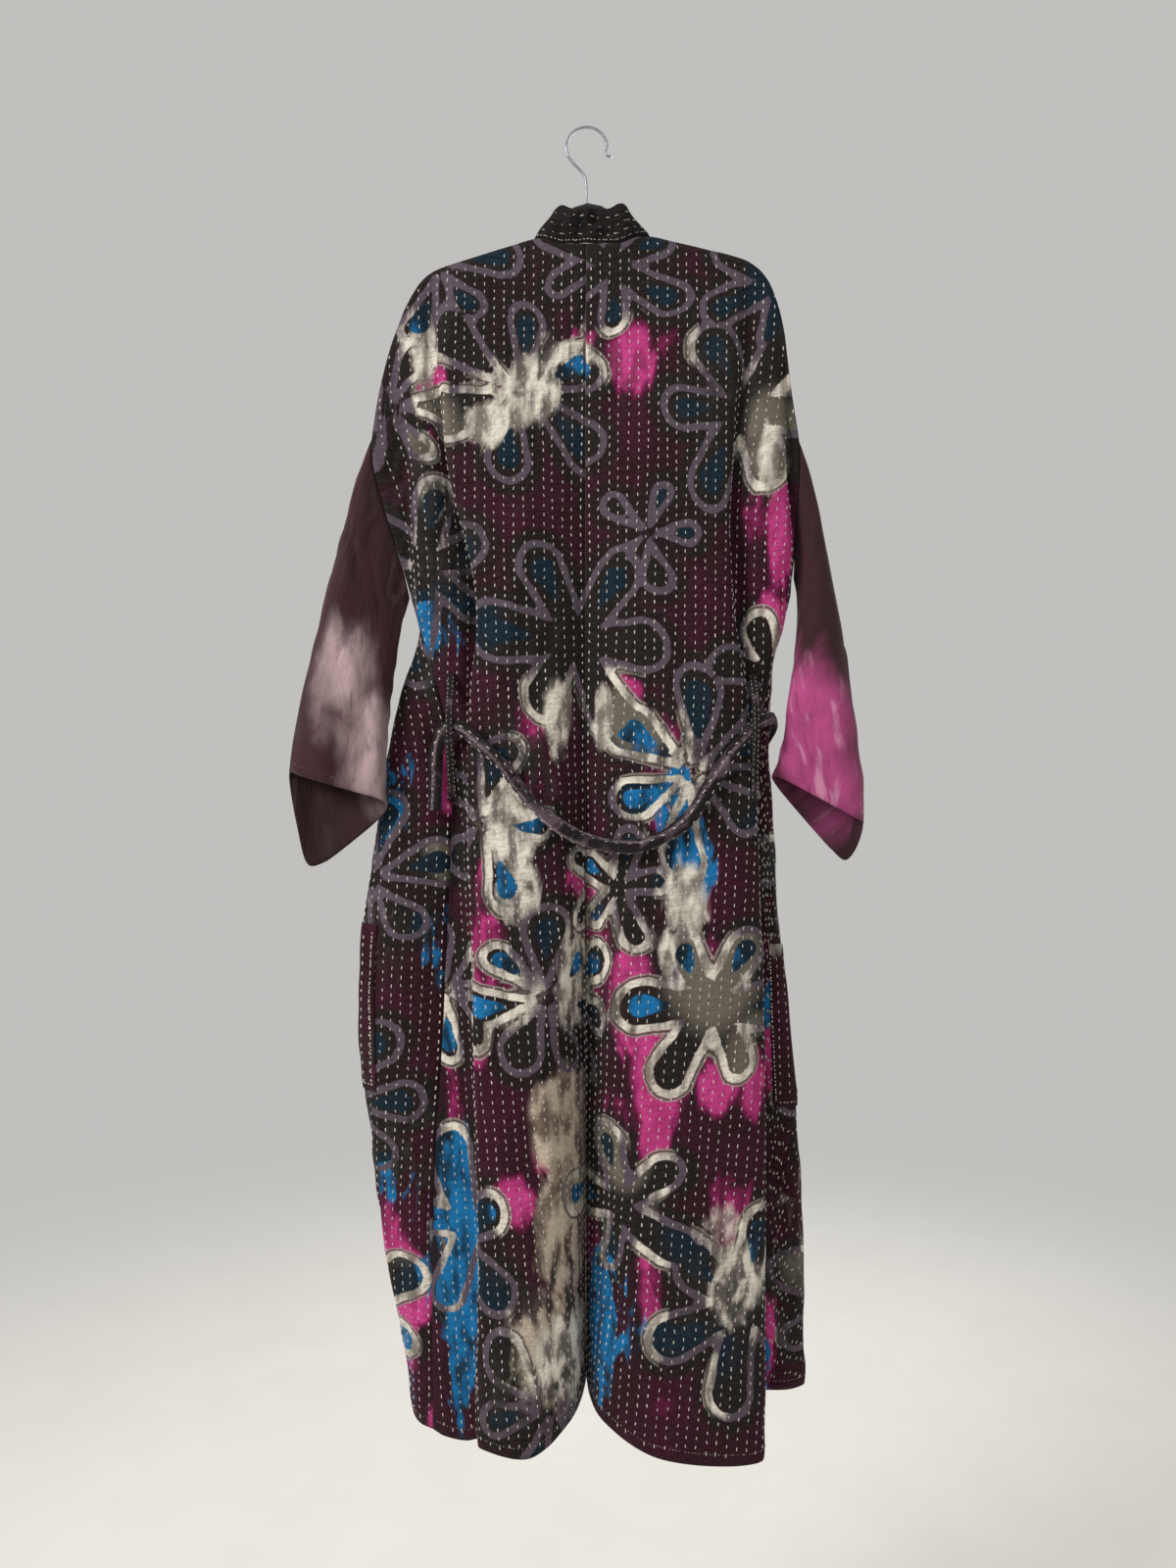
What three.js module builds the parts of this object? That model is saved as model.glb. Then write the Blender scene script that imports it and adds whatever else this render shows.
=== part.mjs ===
// A quilted cotton kimono robe on a slim flocked hanger, seen from behind.
// Millimetres, +Z up. The garment's back faces -Y, its open front faces +Y.
// The origin is the inside of the top of the wire hook, where it hangs.
import * as THREE from 'three';

// Cloth walls and the clearance kept at every seam.
const QUILT = 2.0;
const SLEEVE_CLOTH = 1.4;
const BAND_CLOTH = 3.6;
const LOOP_CLOTH = 1.6;
const SEAM_GAP = 0.3;
const ARMHOLE_GAP = 1.1;
const ARMPIT_GAP = 2.2;
const NECK_GAP = 1.9;

// How finely the panels are divided.
const NECK_PART = 4;
const FRONT_ACROSS = 15;
const BACK_ACROSS = NECK_PART + FRONT_ACROSS;
const EVEN_ROWS_TO_ARMPIT = 7;
const ROWS_TO_ARMPIT = EVEN_ROWS_TO_ARMPIT + 1;
const ROWS_TO_HEM = 20;
const ROWS = ROWS_TO_ARMPIT + ROWS_TO_HEM;

// Levels below the hook at which each half is cut by a level plane.
const CHEST = -400;
const WAIST = -720;
const HIP = -1000;
const KNEE = -1270;

// The seam down the middle of the back, shared by both halves: x, y, z.
const CENTRE_SEAM = [
  [-2, -11, -140], [-3, -12, CHEST], [-3, -10, -537], [-3, -5, WAIST],
  [-3, 5, HIP], [-3, 20, KNEE], [-2, 30, -1480],
];

// The cloth turns over the hanger's edge by this much, out and down.
const TURN_OUT = 4.6;
const TURN_DOWN = 4.2;

// The shoulder line from the neck corner to the top of the sleeve seam: x, y, z.
const SHOULDER_LEFT = [
  [-63, 0, -130], [-138, 0, -153], [-187, 0, -172], [-207, 0, -197],
  [-224, 0, -238], [-233, 0, -263], [-247, 0, -321], [-253, 0, -364],
];
const SHOULDER_RIGHT = [
  [72, 0, -127], [138, 0, -142], [187, 0, -156], [209, 0, -176],
  [222, 0, -206], [230, 0, -252], [237, 0, -309], [247, 0, -367],
];

// Level sections of the back, from the centre seam out to the side: x, y of each
// fold. The hem row also has the height of its edge at each fold.
const BACK_LEFT = [
  { z: CHEST, inner: [-40, -19], crest: [-90, -24], edge: [-160, -21], tuck: [-163, -4],
    lobe: [-184, -16], rim: [-206, -12], under: [-210, -2], side: [-250, -6] },
  { z: -549, inner: [-35, -24], crest: [-68, -32], edge: [-127, -29], tuck: [-130, -7],
    lobe: [-160, -20], rim: [-196, -18], under: [-203, -4], side: [-208, 4] },
  { z: WAIST, inner: [-32, -26], crest: [-70, -37], edge: [-137, -29], tuck: [-139, -10],
    lobe: [-147, -5], rim: [-153, -1], under: [-159, 2], side: [-164, 3] },
  { z: HIP, inner: [-28, -36], crest: [-65, -52], edge: [-129, -46], tuck: [-132, -17],
    lobe: [-141, -8], rim: [-151, -2], under: [-160, 1], side: [-168, 3] },
  { z: KNEE, inner: [-28, -45], crest: [-62, -64], edge: [-122, -56], tuck: [-126, -24],
    lobe: [-139, -16], rim: [-153, -12], under: [-167, -9], side: [-181, -5] },
  { inner: [-16, -36, -1490], crest: [-64, -72, -1519], edge: [-122, -58, -1515],
    tuck: [-126, -27, -1522], lobe: [-139, -20, -1528], rim: [-153, -17, -1528],
    under: [-168, -13, -1526], side: [-181, -6, -1522] },
];
const BACK_RIGHT = [
  { z: CHEST, inner: [38, -19], crest: [90, -24], edge: [163, -20], tuck: [167, -4],
    lobe: [203, -17], rim: [227, -12], under: [230, -2], side: [246, -6] },
  { z: -525, inner: [35, -24], crest: [80, -31], edge: [163, -27], tuck: [167, -6],
    lobe: [205, -21], rim: [232, -16], under: [237, -4], side: [240, 5] },
  { z: WAIST, inner: [32, -26], crest: [75, -36], edge: [188, -28], tuck: [190, -10],
    lobe: [194, -1], rim: [197, 5], under: [200, 9], side: [202, 12] },
  { z: HIP, inner: [28, -36], crest: [75, -50], edge: [198, -39], tuck: [200, -14],
    lobe: [202, -3], rim: [204, 5], under: [206, 10], side: [207, 14] },
  { z: KNEE, inner: [28, -45], crest: [80, -64], edge: [199, -46], tuck: [201, -20],
    lobe: [203, -8], rim: [205, 2], under: [207, 9], side: [209, 15] },
  { inner: [12, -36, -1490], crest: [75, -72, -1518], edge: [196, -56, -1531],
    tuck: [200, -27, -1526], lobe: [203, -12, -1512], rim: [206, 0, -1500],
    under: [208, 9, -1493], side: [210, 16, -1488] },
];
// The column of the grid that follows each fold of the back, and where that column
// starts along the shoulder line, as a share of it.
const BACK_FOLDS = [
  { fold: 'inner', column: 2 }, { fold: 'crest', column: 5, shoulder: 0.08 },
  { fold: 'edge', column: 9, shoulder: 0.335 }, { fold: 'tuck', column: 11, shoulder: 0.37 },
  { fold: 'lobe', column: 14, shoulder: 0.45 }, { fold: 'rim', column: 16, shoulder: 0.6 },
  { fold: 'under', column: 17, shoulder: 0.67 }, { fold: 'side', column: 19, shoulder: 1 },
];

// Level sections of the fronts, from the side out round the turn to the band.
const FRONT_LEFT = [
  { z: CHEST, side: [-250, 6], wrap: [-236, 10], turn: [-214, 14], pleat: [-180, 19],
    dip: [-140, 22], swell: [-100, 17], edge: [-62, 18] },
  { z: -549, side: [-208, 4], wrap: [-201, 15], turn: [-193, 24], pleat: [-180, 30],
    dip: [-150, 15], swell: [-105, 33], edge: [-64, 22] },
  { z: WAIST, side: [-164, 3], wrap: [-200, -1], turn: [-232, 14], pleat: [-215, 36],
    dip: [-165, 26], swell: [-115, 45], edge: [-70, 36] },
  { z: HIP, side: [-168, 3], wrap: [-220, -3], turn: [-271, 18], pleat: [-256, 46],
    dip: [-212, 40], swell: [-165, 58], edge: [-118, 50] },
  { z: KNEE, side: [-181, -5], wrap: [-214, -3], turn: [-247, 20], pleat: [-232, 50],
    dip: [-188, 38], swell: [-140, 68], edge: [-96, 58] },
  { side: [-181, -6, -1522], wrap: [-196, 2, -1520], turn: [-208, 24, -1517],
    pleat: [-200, 52, -1522], dip: [-162, 34, -1526], swell: [-120, 74, -1530],
    edge: [-84, 60, -1532] },
];
const FRONT_RIGHT = [
  { z: CHEST, side: [246, 6], wrap: [236, 10], turn: [214, 14], pleat: [180, 19],
    dip: [140, 22], swell: [100, 17], edge: [60, 18] },
  { z: -525, side: [240, 5], wrap: [233, 15], turn: [223, 23], pleat: [195, 30],
    dip: [152, 15], swell: [105, 33], edge: [62, 20] },
  { z: WAIST, side: [202, 12], wrap: [209, 16], turn: [212, 26], pleat: [194, 44],
    dip: [140, 22], swell: [95, 48], edge: [60, 34] },
  { z: HIP, side: [207, 14], wrap: [223, 15], turn: [237, 26], pleat: [222, 50],
    dip: [170, 32], swell: [118, 60], edge: [72, 48] },
  { z: KNEE, side: [209, 15], wrap: [234, 17], turn: [255, 30], pleat: [240, 57],
    dip: [184, 38], swell: [130, 68], edge: [82, 58] },
  { side: [210, 16, -1488], wrap: [238, 21, -1490], turn: [261, 40, -1492],
    pleat: [245, 69, -1496], dip: [190, 46, -1500], swell: [136, 78, -1504],
    edge: [88, 64, -1506] },
];
const FRONT_FOLDS = [
  { fold: 'side', column: 0 }, { fold: 'wrap', column: 2 }, { fold: 'turn', column: 4 },
  { fold: 'pleat', column: 6 }, { fold: 'dip', column: 9 }, { fold: 'swell', column: 12 },
  { fold: 'edge', column: 15 },
];

// The way the neckband crosses from its seam to its free edge, on the left half, at
// the chest and below, at the neck corner and at the nape.
const BAND_WIDTH = { chest: [48, 2, 4], corner: [29, 1, 37], nape: [2, 3, 44] };
const BAND_ACROSS = 3;

// Where each cuff hangs: the corners of its back layer, how far its front layer
// hangs below them, and how far the sleeve bows out.
const CUFF_LEFT = { outer: [-345, -16, -756], inner: [-233, -17, -788], fall: 103, bow: -9 };
const CUFF_RIGHT = { outer: [319, -14, -814], inner: [214, -12, -757], fall: 54, bow: 12 };
// The mouth of a sleeve, round from its outer corner and back: how far across, how
// deep, and the share of the fall at each point.
const CUFF_RING = [
  { across: 0.00, depth: 0, fall: 0 }, { across: 0.10, depth: -9, fall: 0 },
  { across: 0.25, depth: -14, fall: 0 }, { across: 0.42, depth: -16, fall: 0 },
  { across: 0.58, depth: -15, fall: 0 }, { across: 0.74, depth: -13, fall: 0 },
  { across: 0.88, depth: -10, fall: 0 }, { across: 0.97, depth: -6, fall: 0.02 },
  { across: 1.00, depth: 1, fall: 0.07 }, { across: 0.94, depth: 7, fall: 0.19 },
  { across: 0.81, depth: 11, fall: 0.36 }, { across: 0.65, depth: 14, fall: 0.55 },
  { across: 0.48, depth: 15, fall: 0.75 }, { across: 0.32, depth: 14, fall: 0.92 },
  { across: 0.17, depth: 11, fall: 1.00 }, { across: 0.06, depth: 6, fall: 0.62 },
];
const SLEEVE_ROWS = 11;
const SLEEVE_FULLNESS = 4.5;

// The pockets, as ranges of the front panels' own divisions.
const POCKET_LEFT = { fromSide: 3, toFront: 12, top: 16, bottom: 20 };
const POCKET_RIGHT = { fromSide: 1, toFront: 12, top: 17, bottom: 21 };

// The sash, from its left end up through the left loop, across the back in a
// slack swag, and through the right loop to its right end. Facing is the way
// its flat side looks, in degrees from +X towards +Y.
const SASH_HALF_WIDTH = 8.5;
const SASH_HALF_THICK = 4.5;
const SASH = [
  { x: -178, y: -9, z: -800, facing: 270 }, { x: -177, y: -9, z: -765, facing: 270 },
  { x: -176, y: -10, z: -730, facing: 265 }, { x: -168, y: -17, z: -709, facing: 245 },
  { x: -155, y: -32.1, z: -703, facing: 235 },
  { x: -141, y: -40, z: -708, facing: 258 }, { x: -122, y: -47, z: -724, facing: 268 },
  { x: -100, y: -50, z: -744, facing: 270 }, { x: -61, y: -53, z: -793, facing: 270 },
  { x: -22, y: -53, z: -823, facing: 270 }, { x: 22, y: -53, z: -838, facing: 270 },
  { x: 66, y: -54, z: -837, facing: 270 }, { x: 111, y: -52, z: -811, facing: 270 },
  { x: 139, y: -49, z: -769, facing: 270 }, { x: 168, y: -44, z: -728, facing: 272 },
  { x: 189, y: -40, z: -704, facing: 285 }, { x: 206, y: -22, z: -694, facing: 320 },
  { x: 217, y: 4, z: -692, facing: 355 }, { x: 222, y: 32, z: -700, facing: 380 },
  { x: 212, y: 56, z: -722, facing: 430 }, { x: 203, y: 62, z: -760, facing: 450 },
  { x: 200, y: 64, z: -850, facing: 450 }, { x: 201, y: 66, z: -960, facing: 450 },
  { x: 203, y: 69, z: -1080, facing: 450 }, { x: 206, y: 72, z: -1200, facing: 450 },
  { x: 208, y: 77, z: -1330, facing: 450 }, { x: 209, y: 81, z: -1450, facing: 450 },
];
const SASH_STEPS = 62;
const SASH_SIDES = 8;

// The belt loops: a narrow strip by each side that stands off round the sash.
const LOOP_HALF_WIDTH = 4.5;
const LOOP_LEFT = { x: -158.5, path: [[-13.7, -640], [-20, -656], [-35, -682], [-39.5, -704],
  [-36, -726], [-16, -764], [0.2, -790]] };
const LOOP_RIGHT = { x: 191, path: [[-11.2, -640], [-22, -654], [-41, -676], [-48, -700],
  [-43, -726], [-37, -760], [-34.7, -792]] };

// The hanger: half of its flat arm's outline, and the wire hook.
const ARM_TOP = [[0, -88], [16, -92], [30, -102], [50, -122.4], [66, -132.3], [100, -141.4],
  [138, -152.4], [166, -161.4], [186, -168.9]];
const ARM_DEPTH = 13;
const ARM_HALF_THICK = 2.4;
const HANGER_TILT = 2.3;
const WIRE_RADIUS = 1.6;
const HOOK_RADIUS = 24;
const HOOK_CENTRE = [-1.5, -WIRE_RADIUS - 20.8];
const STEM_FOOT = -88;

const vector = (list) => new THREE.Vector3(list[0], list[1], list[2]);
const smoothThrough = (points) => new THREE.CatmullRomCurve3(points, false, 'centripetal');

// Points at even distances along part of a curve.
function evenly(curve, from, to, steps) {
  const fine = 24 * steps;
  const samples = [];
  const run = [0];
  for (let k = 0; k <= fine; k += 1) {
    samples.push(curve.getPoint(from + (to - from) * k / fine));
    if (k > 0) {
      run.push(run[k - 1] + samples[k].distanceTo(samples[k - 1]));
    }
  }
  const points = [];
  let k = 0;
  for (let step = 0; step <= steps; step += 1) {
    const goal = run[fine] * step / steps;
    while (k < fine - 1 && run[k + 1] < goal) {
      k += 1;
    }
    const share = (goal - run[k]) / (run[k + 1] - run[k]);
    points.push(samples[k].clone().lerp(samples[k + 1], share));
  }
  return points;
}

// One level section, with the centre seam in front where there is one. Each fold
// keeps its own column of the grid, and the columns between are spread evenly.
function sectionRow(row, folds, seamPoint) {
  const points = folds.map(({ fold }) => {
    const [x, y, z] = row[fold];
    return new THREE.Vector3(x, y, z ?? row.z);
  });
  const columns = folds.map(({ column }) => column);
  if (seamPoint) {
    points.unshift(vector(seamPoint));
    columns.unshift(0);
  }
  const curve = smoothThrough(points);
  const result = [points[0].clone()];
  for (let k = 1; k < columns.length; k += 1) {
    const count = columns[k] - columns[k - 1];
    for (let step = 1; step <= count; step += 1) {
      result.push(curve.getPoint((k - 1 + step / count) / (columns.length - 1)));
    }
  }
  return result;
}

// The cloth leaves the shoulder line outward, round the hanger, then hangs. The
// turn fades out by the armpit, and towards the neck, where the neckband sits.
function turnOver(upper, outward, share) {
  const turned = upper.map((point, j) => {
    const fade = 1 - j / EVEN_ROWS_TO_ARMPIT;
    return j === 0 ? point.clone() : point.clone().addScaledVector(outward, TURN_OUT * fade * share);
  });
  const along = upper[1].clone().sub(upper[0]).normalize();
  const bend = upper[0].clone().addScaledVector(outward, TURN_OUT * share)
    .addScaledVector(along, TURN_DOWN);
  turned.splice(1, 0, bend);
  return turned;
}

// A panel's points: rows of the grid run down each column through the levels. Below
// the armpit the side column has a curve of its own, which both panels share.
function panelGrid(topRow, rows, folds, across, seam, outward) {
  const sideAt = seam ? across : 0;
  const levels = [topRow];
  rows.forEach((row, index) => levels.push(sectionRow(row, folds, seam && seam[index + 1])));
  const armpitAt = 2 / rows.length;
  const columns = [];
  for (let i = 0; i <= across; i += 1) {
    const column = smoothThrough(levels.map((level) => level[i]));
    const upper = evenly(column, 0, armpitAt, EVEN_ROWS_TO_ARMPIT);
    const lower = i === sideAt
      ? evenly(smoothThrough(levels.slice(2).map((level) => level[i])), 0, 1, ROWS_TO_HEM)
      : evenly(column, armpitAt, 1, ROWS_TO_HEM);
    const share = seam && i < NECK_PART ? 0 : 1;
    columns.push(turnOver(upper, outward, share).concat(lower.slice(1)));
  }
  return columns;
}

// The unit normal at each grid point, on the side that the winding shows.
function gridNormals(grid) {
  const last = grid.length - 1;
  return grid.map((column, i) => column.map((point, j) => {
    const end = column.length - 1;
    const across = grid[Math.min(i + 1, last)][j].clone().sub(grid[Math.max(i - 1, 0)][j]);
    const down = column[Math.min(j + 1, end)].clone().sub(column[Math.max(j - 1, 0)]);
    return across.cross(down).normalize();
  }));
}

function meshFrom(name, positions, triangles, material) {
  const geometry = new THREE.BufferGeometry();
  geometry.setAttribute('position', new THREE.Float32BufferAttribute(positions, 3));
  geometry.setIndex(triangles);
  geometry.computeVertexNormals();
  const mesh = new THREE.Mesh(geometry, material);
  mesh.name = name;
  return mesh;
}

// A closed wall round a grid: its outer face, its inner face and its four edges.
function wall(name, grid, normals, below, above, material) {
  const columns = grid.length;
  const rows = grid[0].length;
  const positions = [];
  for (const offset of [above, below]) {
    for (let i = 0; i < columns; i += 1) {
      for (let j = 0; j < rows; j += 1) {
        const p = grid[i][j].clone().addScaledVector(normals[i][j], offset);
        positions.push(p.x, p.y, p.z);
      }
    }
  }
  const outer = (i, j) => i * rows + j;
  const inner = (i, j) => columns * rows + i * rows + j;
  const triangles = [];
  const quad = (a, b, c, d) => triangles.push(a, b, c, a, c, d);
  for (let i = 0; i < columns - 1; i += 1) {
    for (let j = 0; j < rows - 1; j += 1) {
      quad(outer(i, j), outer(i + 1, j), outer(i + 1, j + 1), outer(i, j + 1));
      quad(inner(i, j), inner(i, j + 1), inner(i + 1, j + 1), inner(i + 1, j));
    }
  }
  for (let i = 0; i < columns - 1; i += 1) {
    const end = rows - 1;
    quad(outer(i, 0), inner(i, 0), inner(i + 1, 0), outer(i + 1, 0));
    quad(outer(i, end), outer(i + 1, end), inner(i + 1, end), inner(i, end));
  }
  for (let j = 0; j < rows - 1; j += 1) {
    const end = columns - 1;
    quad(outer(0, j), outer(0, j + 1), inner(0, j + 1), inner(0, j));
    quad(outer(end, j), inner(end, j), inner(end, j + 1), outer(end, j + 1));
  }
  return meshFrom(name, positions, triangles, material);
}

// A closed wall round a tube of rings that is open at both ends.
function tubeWall(name, rings, firstNormals, thickness, material) {
  const around = rings[0].length;
  const normals = rings.map((ring, i) => ring.map((point, j) => {
    const along = rings[Math.min(i + 1, rings.length - 1)][j].clone()
      .sub(rings[Math.max(i - 1, 0)][j]);
    const round = ring[(j + 1) % around].clone().sub(ring[(j + around - 1) % around]);
    return i === 0 ? firstNormals[j].clone() : along.cross(round).normalize();
  }));
  const positions = [];
  for (const offset of [thickness / 2, -thickness / 2]) {
    rings.forEach((ring, i) => ring.forEach((point, j) => {
      const p = point.clone().addScaledVector(normals[i][j], offset);
      positions.push(p.x, p.y, p.z);
    }));
  }
  const outer = (i, j) => i * around + (j % around);
  const inner = (i, j) => rings.length * around + outer(i, j);
  const triangles = [];
  const quad = (a, b, c, d) => triangles.push(a, b, c, a, c, d);
  for (let i = 0; i < rings.length - 1; i += 1) {
    for (let j = 0; j < around; j += 1) {
      quad(outer(i, j), outer(i + 1, j), outer(i + 1, j + 1), outer(i, j + 1));
      quad(inner(i, j), inner(i, j + 1), inner(i + 1, j + 1), inner(i + 1, j));
    }
  }
  const end = rings.length - 1;
  for (let j = 0; j < around; j += 1) {
    quad(outer(0, j), outer(0, j + 1), inner(0, j + 1), inner(0, j));
    quad(outer(end, j), inner(end, j), inner(end, j + 1), outer(end, j + 1));
  }
  return meshFrom(name, positions, triangles, material);
}

// The shoulder line, divided so that each column starts at its own share of it.
function shoulderRow(shoulder) {
  const fine = 200;
  const line = evenly(smoothThrough(shoulder.map(vector)), 0, 1, fine);
  const starts = [{ column: NECK_PART, shoulder: 0 }];
  starts.push(...BACK_FOLDS.filter((row) => row.shoulder !== undefined));
  const result = [line[0].clone()];
  for (let k = 1; k < starts.length; k += 1) {
    const count = starts[k].column - starts[k - 1].column;
    for (let step = 1; step <= count; step += 1) {
      const share = starts[k - 1].shoulder
        + (starts[k].shoulder - starts[k - 1].shoulder) * step / count;
      result.push(line[Math.round(share * fine)].clone());
    }
  }
  return result;
}

// The back's top row: half of the neck seam, then the shoulder line.
function backTopRow(shoulder) {
  const centre = vector(CENTRE_SEAM[0]);
  const corner = vector(shoulder[0]);
  const middle = centre.clone().lerp(corner, 0.56);
  middle.y = centre.y;
  middle.z = centre.z + 1;
  const bend = centre.clone().lerp(corner, 0.9);
  bend.y = centre.y * 0.7;
  const neck = evenly(smoothThrough([centre, middle, bend, corner]), 0, 1, NECK_PART);
  return neck.concat(shoulderRow(shoulder).slice(1));
}

const BACKWARD = new THREE.Vector3(0, -1, 0);
const FORWARD = new THREE.Vector3(0, 1, 0);
const DOWNWARD = new THREE.Vector3(0, 0, -1);

// The direction across a seam, square to it and to the cloth, towards a point.
function acrossSeam(before, after, normal, edge, towards) {
  const along = after.clone().sub(before);
  const across = along.cross(normal).normalize();
  return across.dot(towards.clone().sub(edge)) > 0 ? across : across.negate();
}

// Each normal drawn towards its two neighbours.
function smoothed(normals) {
  const last = normals.length - 1;
  return normals.map((normal, k) => normal.clone().multiplyScalar(2)
    .add(normals[Math.max(k - 1, 0)]).add(normals[Math.min(k + 1, last)]).normalize());
}

// Both panels end in one plane at a seam, and each is drawn back by half the gap.
// Each side of the seam is a list of places, in step with the other side's.
function joinSeam(first, second) {
  const summed = first.map((a, k) => {
    const b = second[k];
    return a.normals[a.i][a.j].clone().add(b.normals[b.i][b.j]).normalize();
  });
  const shared = smoothed(smoothed(summed));
  for (const places of [first, second]) {
    const edges = places.map(({ grid, i, j }) => grid[i][j].clone());
    places.forEach(({ grid, normals, i, j, next }, k) => {
      const before = edges[Math.max(k - 1, 0)];
      const after = edges[Math.min(k + 1, edges.length - 1)];
      const inward = acrossSeam(before, after, shared[k], edges[k], next);
      grid[i][j].addScaledVector(inward, SEAM_GAP / 2);
      normals[i][j] = shared[k].clone();
    });
  }
}

function flipped(normals) {
  return normals.map((column) => column.map((normal) => normal.negate()));
}

// Places along one row or column of a panel, from the seam's start to its end.
function places(grid, normals, cells, inward) {
  return cells.map(([i, j]) => {
    const next = grid[i + inward[0]][j + inward[1]].clone();
    return { grid, normals, i, j, next };
  });
}

const countTo = (from, to) => Array.from({ length: to - from + 1 }, (unused, k) => from + k);

// The two quilted panels of one side of the robe, as grids with their normals.
function halfRobe(side, shoulder, backRows, frontRows) {
  const onLeft = side === 'left';
  const topRow = backTopRow(shoulder);
  const back = panelGrid(topRow, backRows, BACK_FOLDS, BACK_ACROSS, CENTRE_SEAM, BACKWARD);
  const line = topRow.slice(NECK_PART).map((point) => point.clone()).reverse();
  const front = panelGrid(line, frontRows, FRONT_FOLDS, FRONT_ACROSS, null, FORWARD);
  let backNormals = gridNormals(back);
  let frontNormals = gridNormals(front);
  if (!onLeft) {
    backNormals = flipped(backNormals);
    frontNormals = flipped(frontNormals);
  }
  const sideRows = countTo(ROWS_TO_ARMPIT, ROWS);
  joinSeam(places(back, backNormals, sideRows.map((j) => [BACK_ACROSS, j]), [-1, 0]),
    places(front, frontNormals, sideRows.map((j) => [0, j]), [1, 0]));
  const steps = countTo(0, FRONT_ACROSS);
  joinSeam(places(back, backNormals, steps.map((k) => [BACK_ACROSS - k, 0]), [0, 1]),
    places(front, frontNormals, steps.map((k) => [k, 0]), [0, 1]));
  return { back, front, backNormals, frontNormals, onLeft };
}

// The centre seam joins the two backs.
function joinBacks(left, right) {
  const rows = countTo(0, ROWS).map((j) => [0, j]);
  joinSeam(places(left.back, left.backNormals, rows, [1, 0]),
    places(right.back, right.backNormals, rows, [1, 0]));
}

// A wall needs its faces pointing out, so a mirrored grid is read the other way.
function panelWall(name, grid, normals, mirrored, below, above, material) {
  const order = mirrored ? [...grid].reverse() : grid;
  const turned = mirrored ? [...normals].reverse() : normals;
  return wall(name, order, turned, below, above, material);
}

// The armhole, round the back's edge and up the front's, past the seam's gap. At
// the armpit the cloth turns under, so its outside looks down there.
function armhole(half) {
  const edge = [];
  const add = (grid, normals, i, j, inward) => edge.push({
    point: grid[i][j], normal: normals[i][j], inside: grid[i + inward][j],
  });
  for (let j = 0; j < ROWS_TO_ARMPIT; j += 1) {
    add(half.back, half.backNormals, BACK_ACROSS, j, -1);
  }
  for (let j = ROWS_TO_ARMPIT; j > 0; j -= 1) {
    add(half.front, half.frontNormals, 0, j, 1);
  }
  const last = edge.length - 1;
  return edge.map(({ point, normal, inside }, k) => {
    const before = edge[k === 0 ? last : k - 1].point;
    const after = edge[k === last ? 0 : k + 1].point;
    const out = acrossSeam(before, after, normal, point, inside).negate();
    if (k === ROWS_TO_ARMPIT) {
      return { point: point.clone().addScaledVector(normal, ARMPIT_GAP), normal: DOWNWARD.clone() };
    }
    return { point: point.clone().addScaledVector(out, ARMHOLE_GAP), normal: normal.clone() };
  });
}

// The sleeve's rings run from the armhole to the cuff.
function sleeveRings(half, cuff) {
  const outer = vector(cuff.outer);
  const inner = vector(cuff.inner);
  const mouth = CUFF_RING.map(({ across, depth, fall }) => {
    const point = outer.clone().lerp(inner, across);
    point.y += depth;
    point.z -= fall * cuff.fall;
    return point;
  });
  const start = armhole(half);
  const rings = [];
  for (let row = 0; row <= SLEEVE_ROWS; row += 1) {
    const share = row / SLEEVE_ROWS;
    const fullness = Math.sin(Math.PI * share) ** 0.5;
    rings.push(start.map(({ point }, k) => {
      const place = point.clone().lerp(mouth[k], share);
      const towardFront = k > ROWS_TO_ARMPIT ? 1 : -1;
      const round = Math.abs(Math.sin(Math.PI * k / ROWS_TO_ARMPIT)) ** 0.5;
      place.x += cuff.bow * fullness;
      place.y += towardFront * SLEEVE_FULLNESS * fullness * round;
      return place;
    }));
  }
  return { rings, firstNormals: start.map(({ normal }) => normal) };
}

// Width of the neckband at a share of the way from the neck corner to the chest.
function bandWidth(share, mirrored) {
  const corner = vector(BAND_WIDTH.corner);
  const chest = vector(BAND_WIDTH.chest);
  const width = corner.lerp(chest, Math.min(1, share));
  if (mirrored) {
    width.x = -width.x;
  }
  return width;
}

// The neckband follows the front edges and the neck seam, hem to hem. Its first
// column takes the panels' normals, so that it ends square to them.
function neckband(leftHalf, rightHalf) {
  const nape = vector(BAND_WIDTH.nape);
  const frontRun = (half, mirrored) => countTo(0, ROWS).map((j) => {
    const across = bandWidth(j / (ROWS_TO_ARMPIT - 1), mirrored);
    across.y += j > 0 && j < ROWS_TO_ARMPIT ? 1.5 : 0;
    const edge = half.front[FRONT_ACROSS][j];
    const normal = half.frontNormals[FRONT_ACROSS][j];
    return { across, edge, normal, gap: j === 0 ? NECK_GAP : SEAM_GAP };
  });
  const neckRun = (half, mirrored) => countTo(1, NECK_PART - 1).map((i) => {
    const across = nape.clone().lerp(bandWidth(0, mirrored), i / NECK_PART);
    return { across, edge: half.back[i][0], normal: half.backNormals[i][0], gap: NECK_GAP };
  });
  const centre = {
    across: nape, edge: vector(CENTRE_SEAM[0]), normal: BACKWARD.clone(), gap: NECK_GAP,
  };
  const stations = [...frontRun(leftHalf, false).reverse(), ...neckRun(leftHalf, false).reverse(),
    centre, ...neckRun(rightHalf, true), ...frontRun(rightHalf, true)];
  const grid = stations.map(({ across, edge, gap }) => {
    const start = edge.clone().addScaledVector(across.clone().normalize(), gap);
    return countTo(0, BAND_ACROSS).map((step) => start.clone()
      .addScaledVector(across, step / BAND_ACROSS));
  });
  const normals = gridNormals(grid);
  stations.forEach(({ normal }, k) => {
    normals[k][0] = normal.clone();
  });
  return { grid, normals };
}

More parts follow.
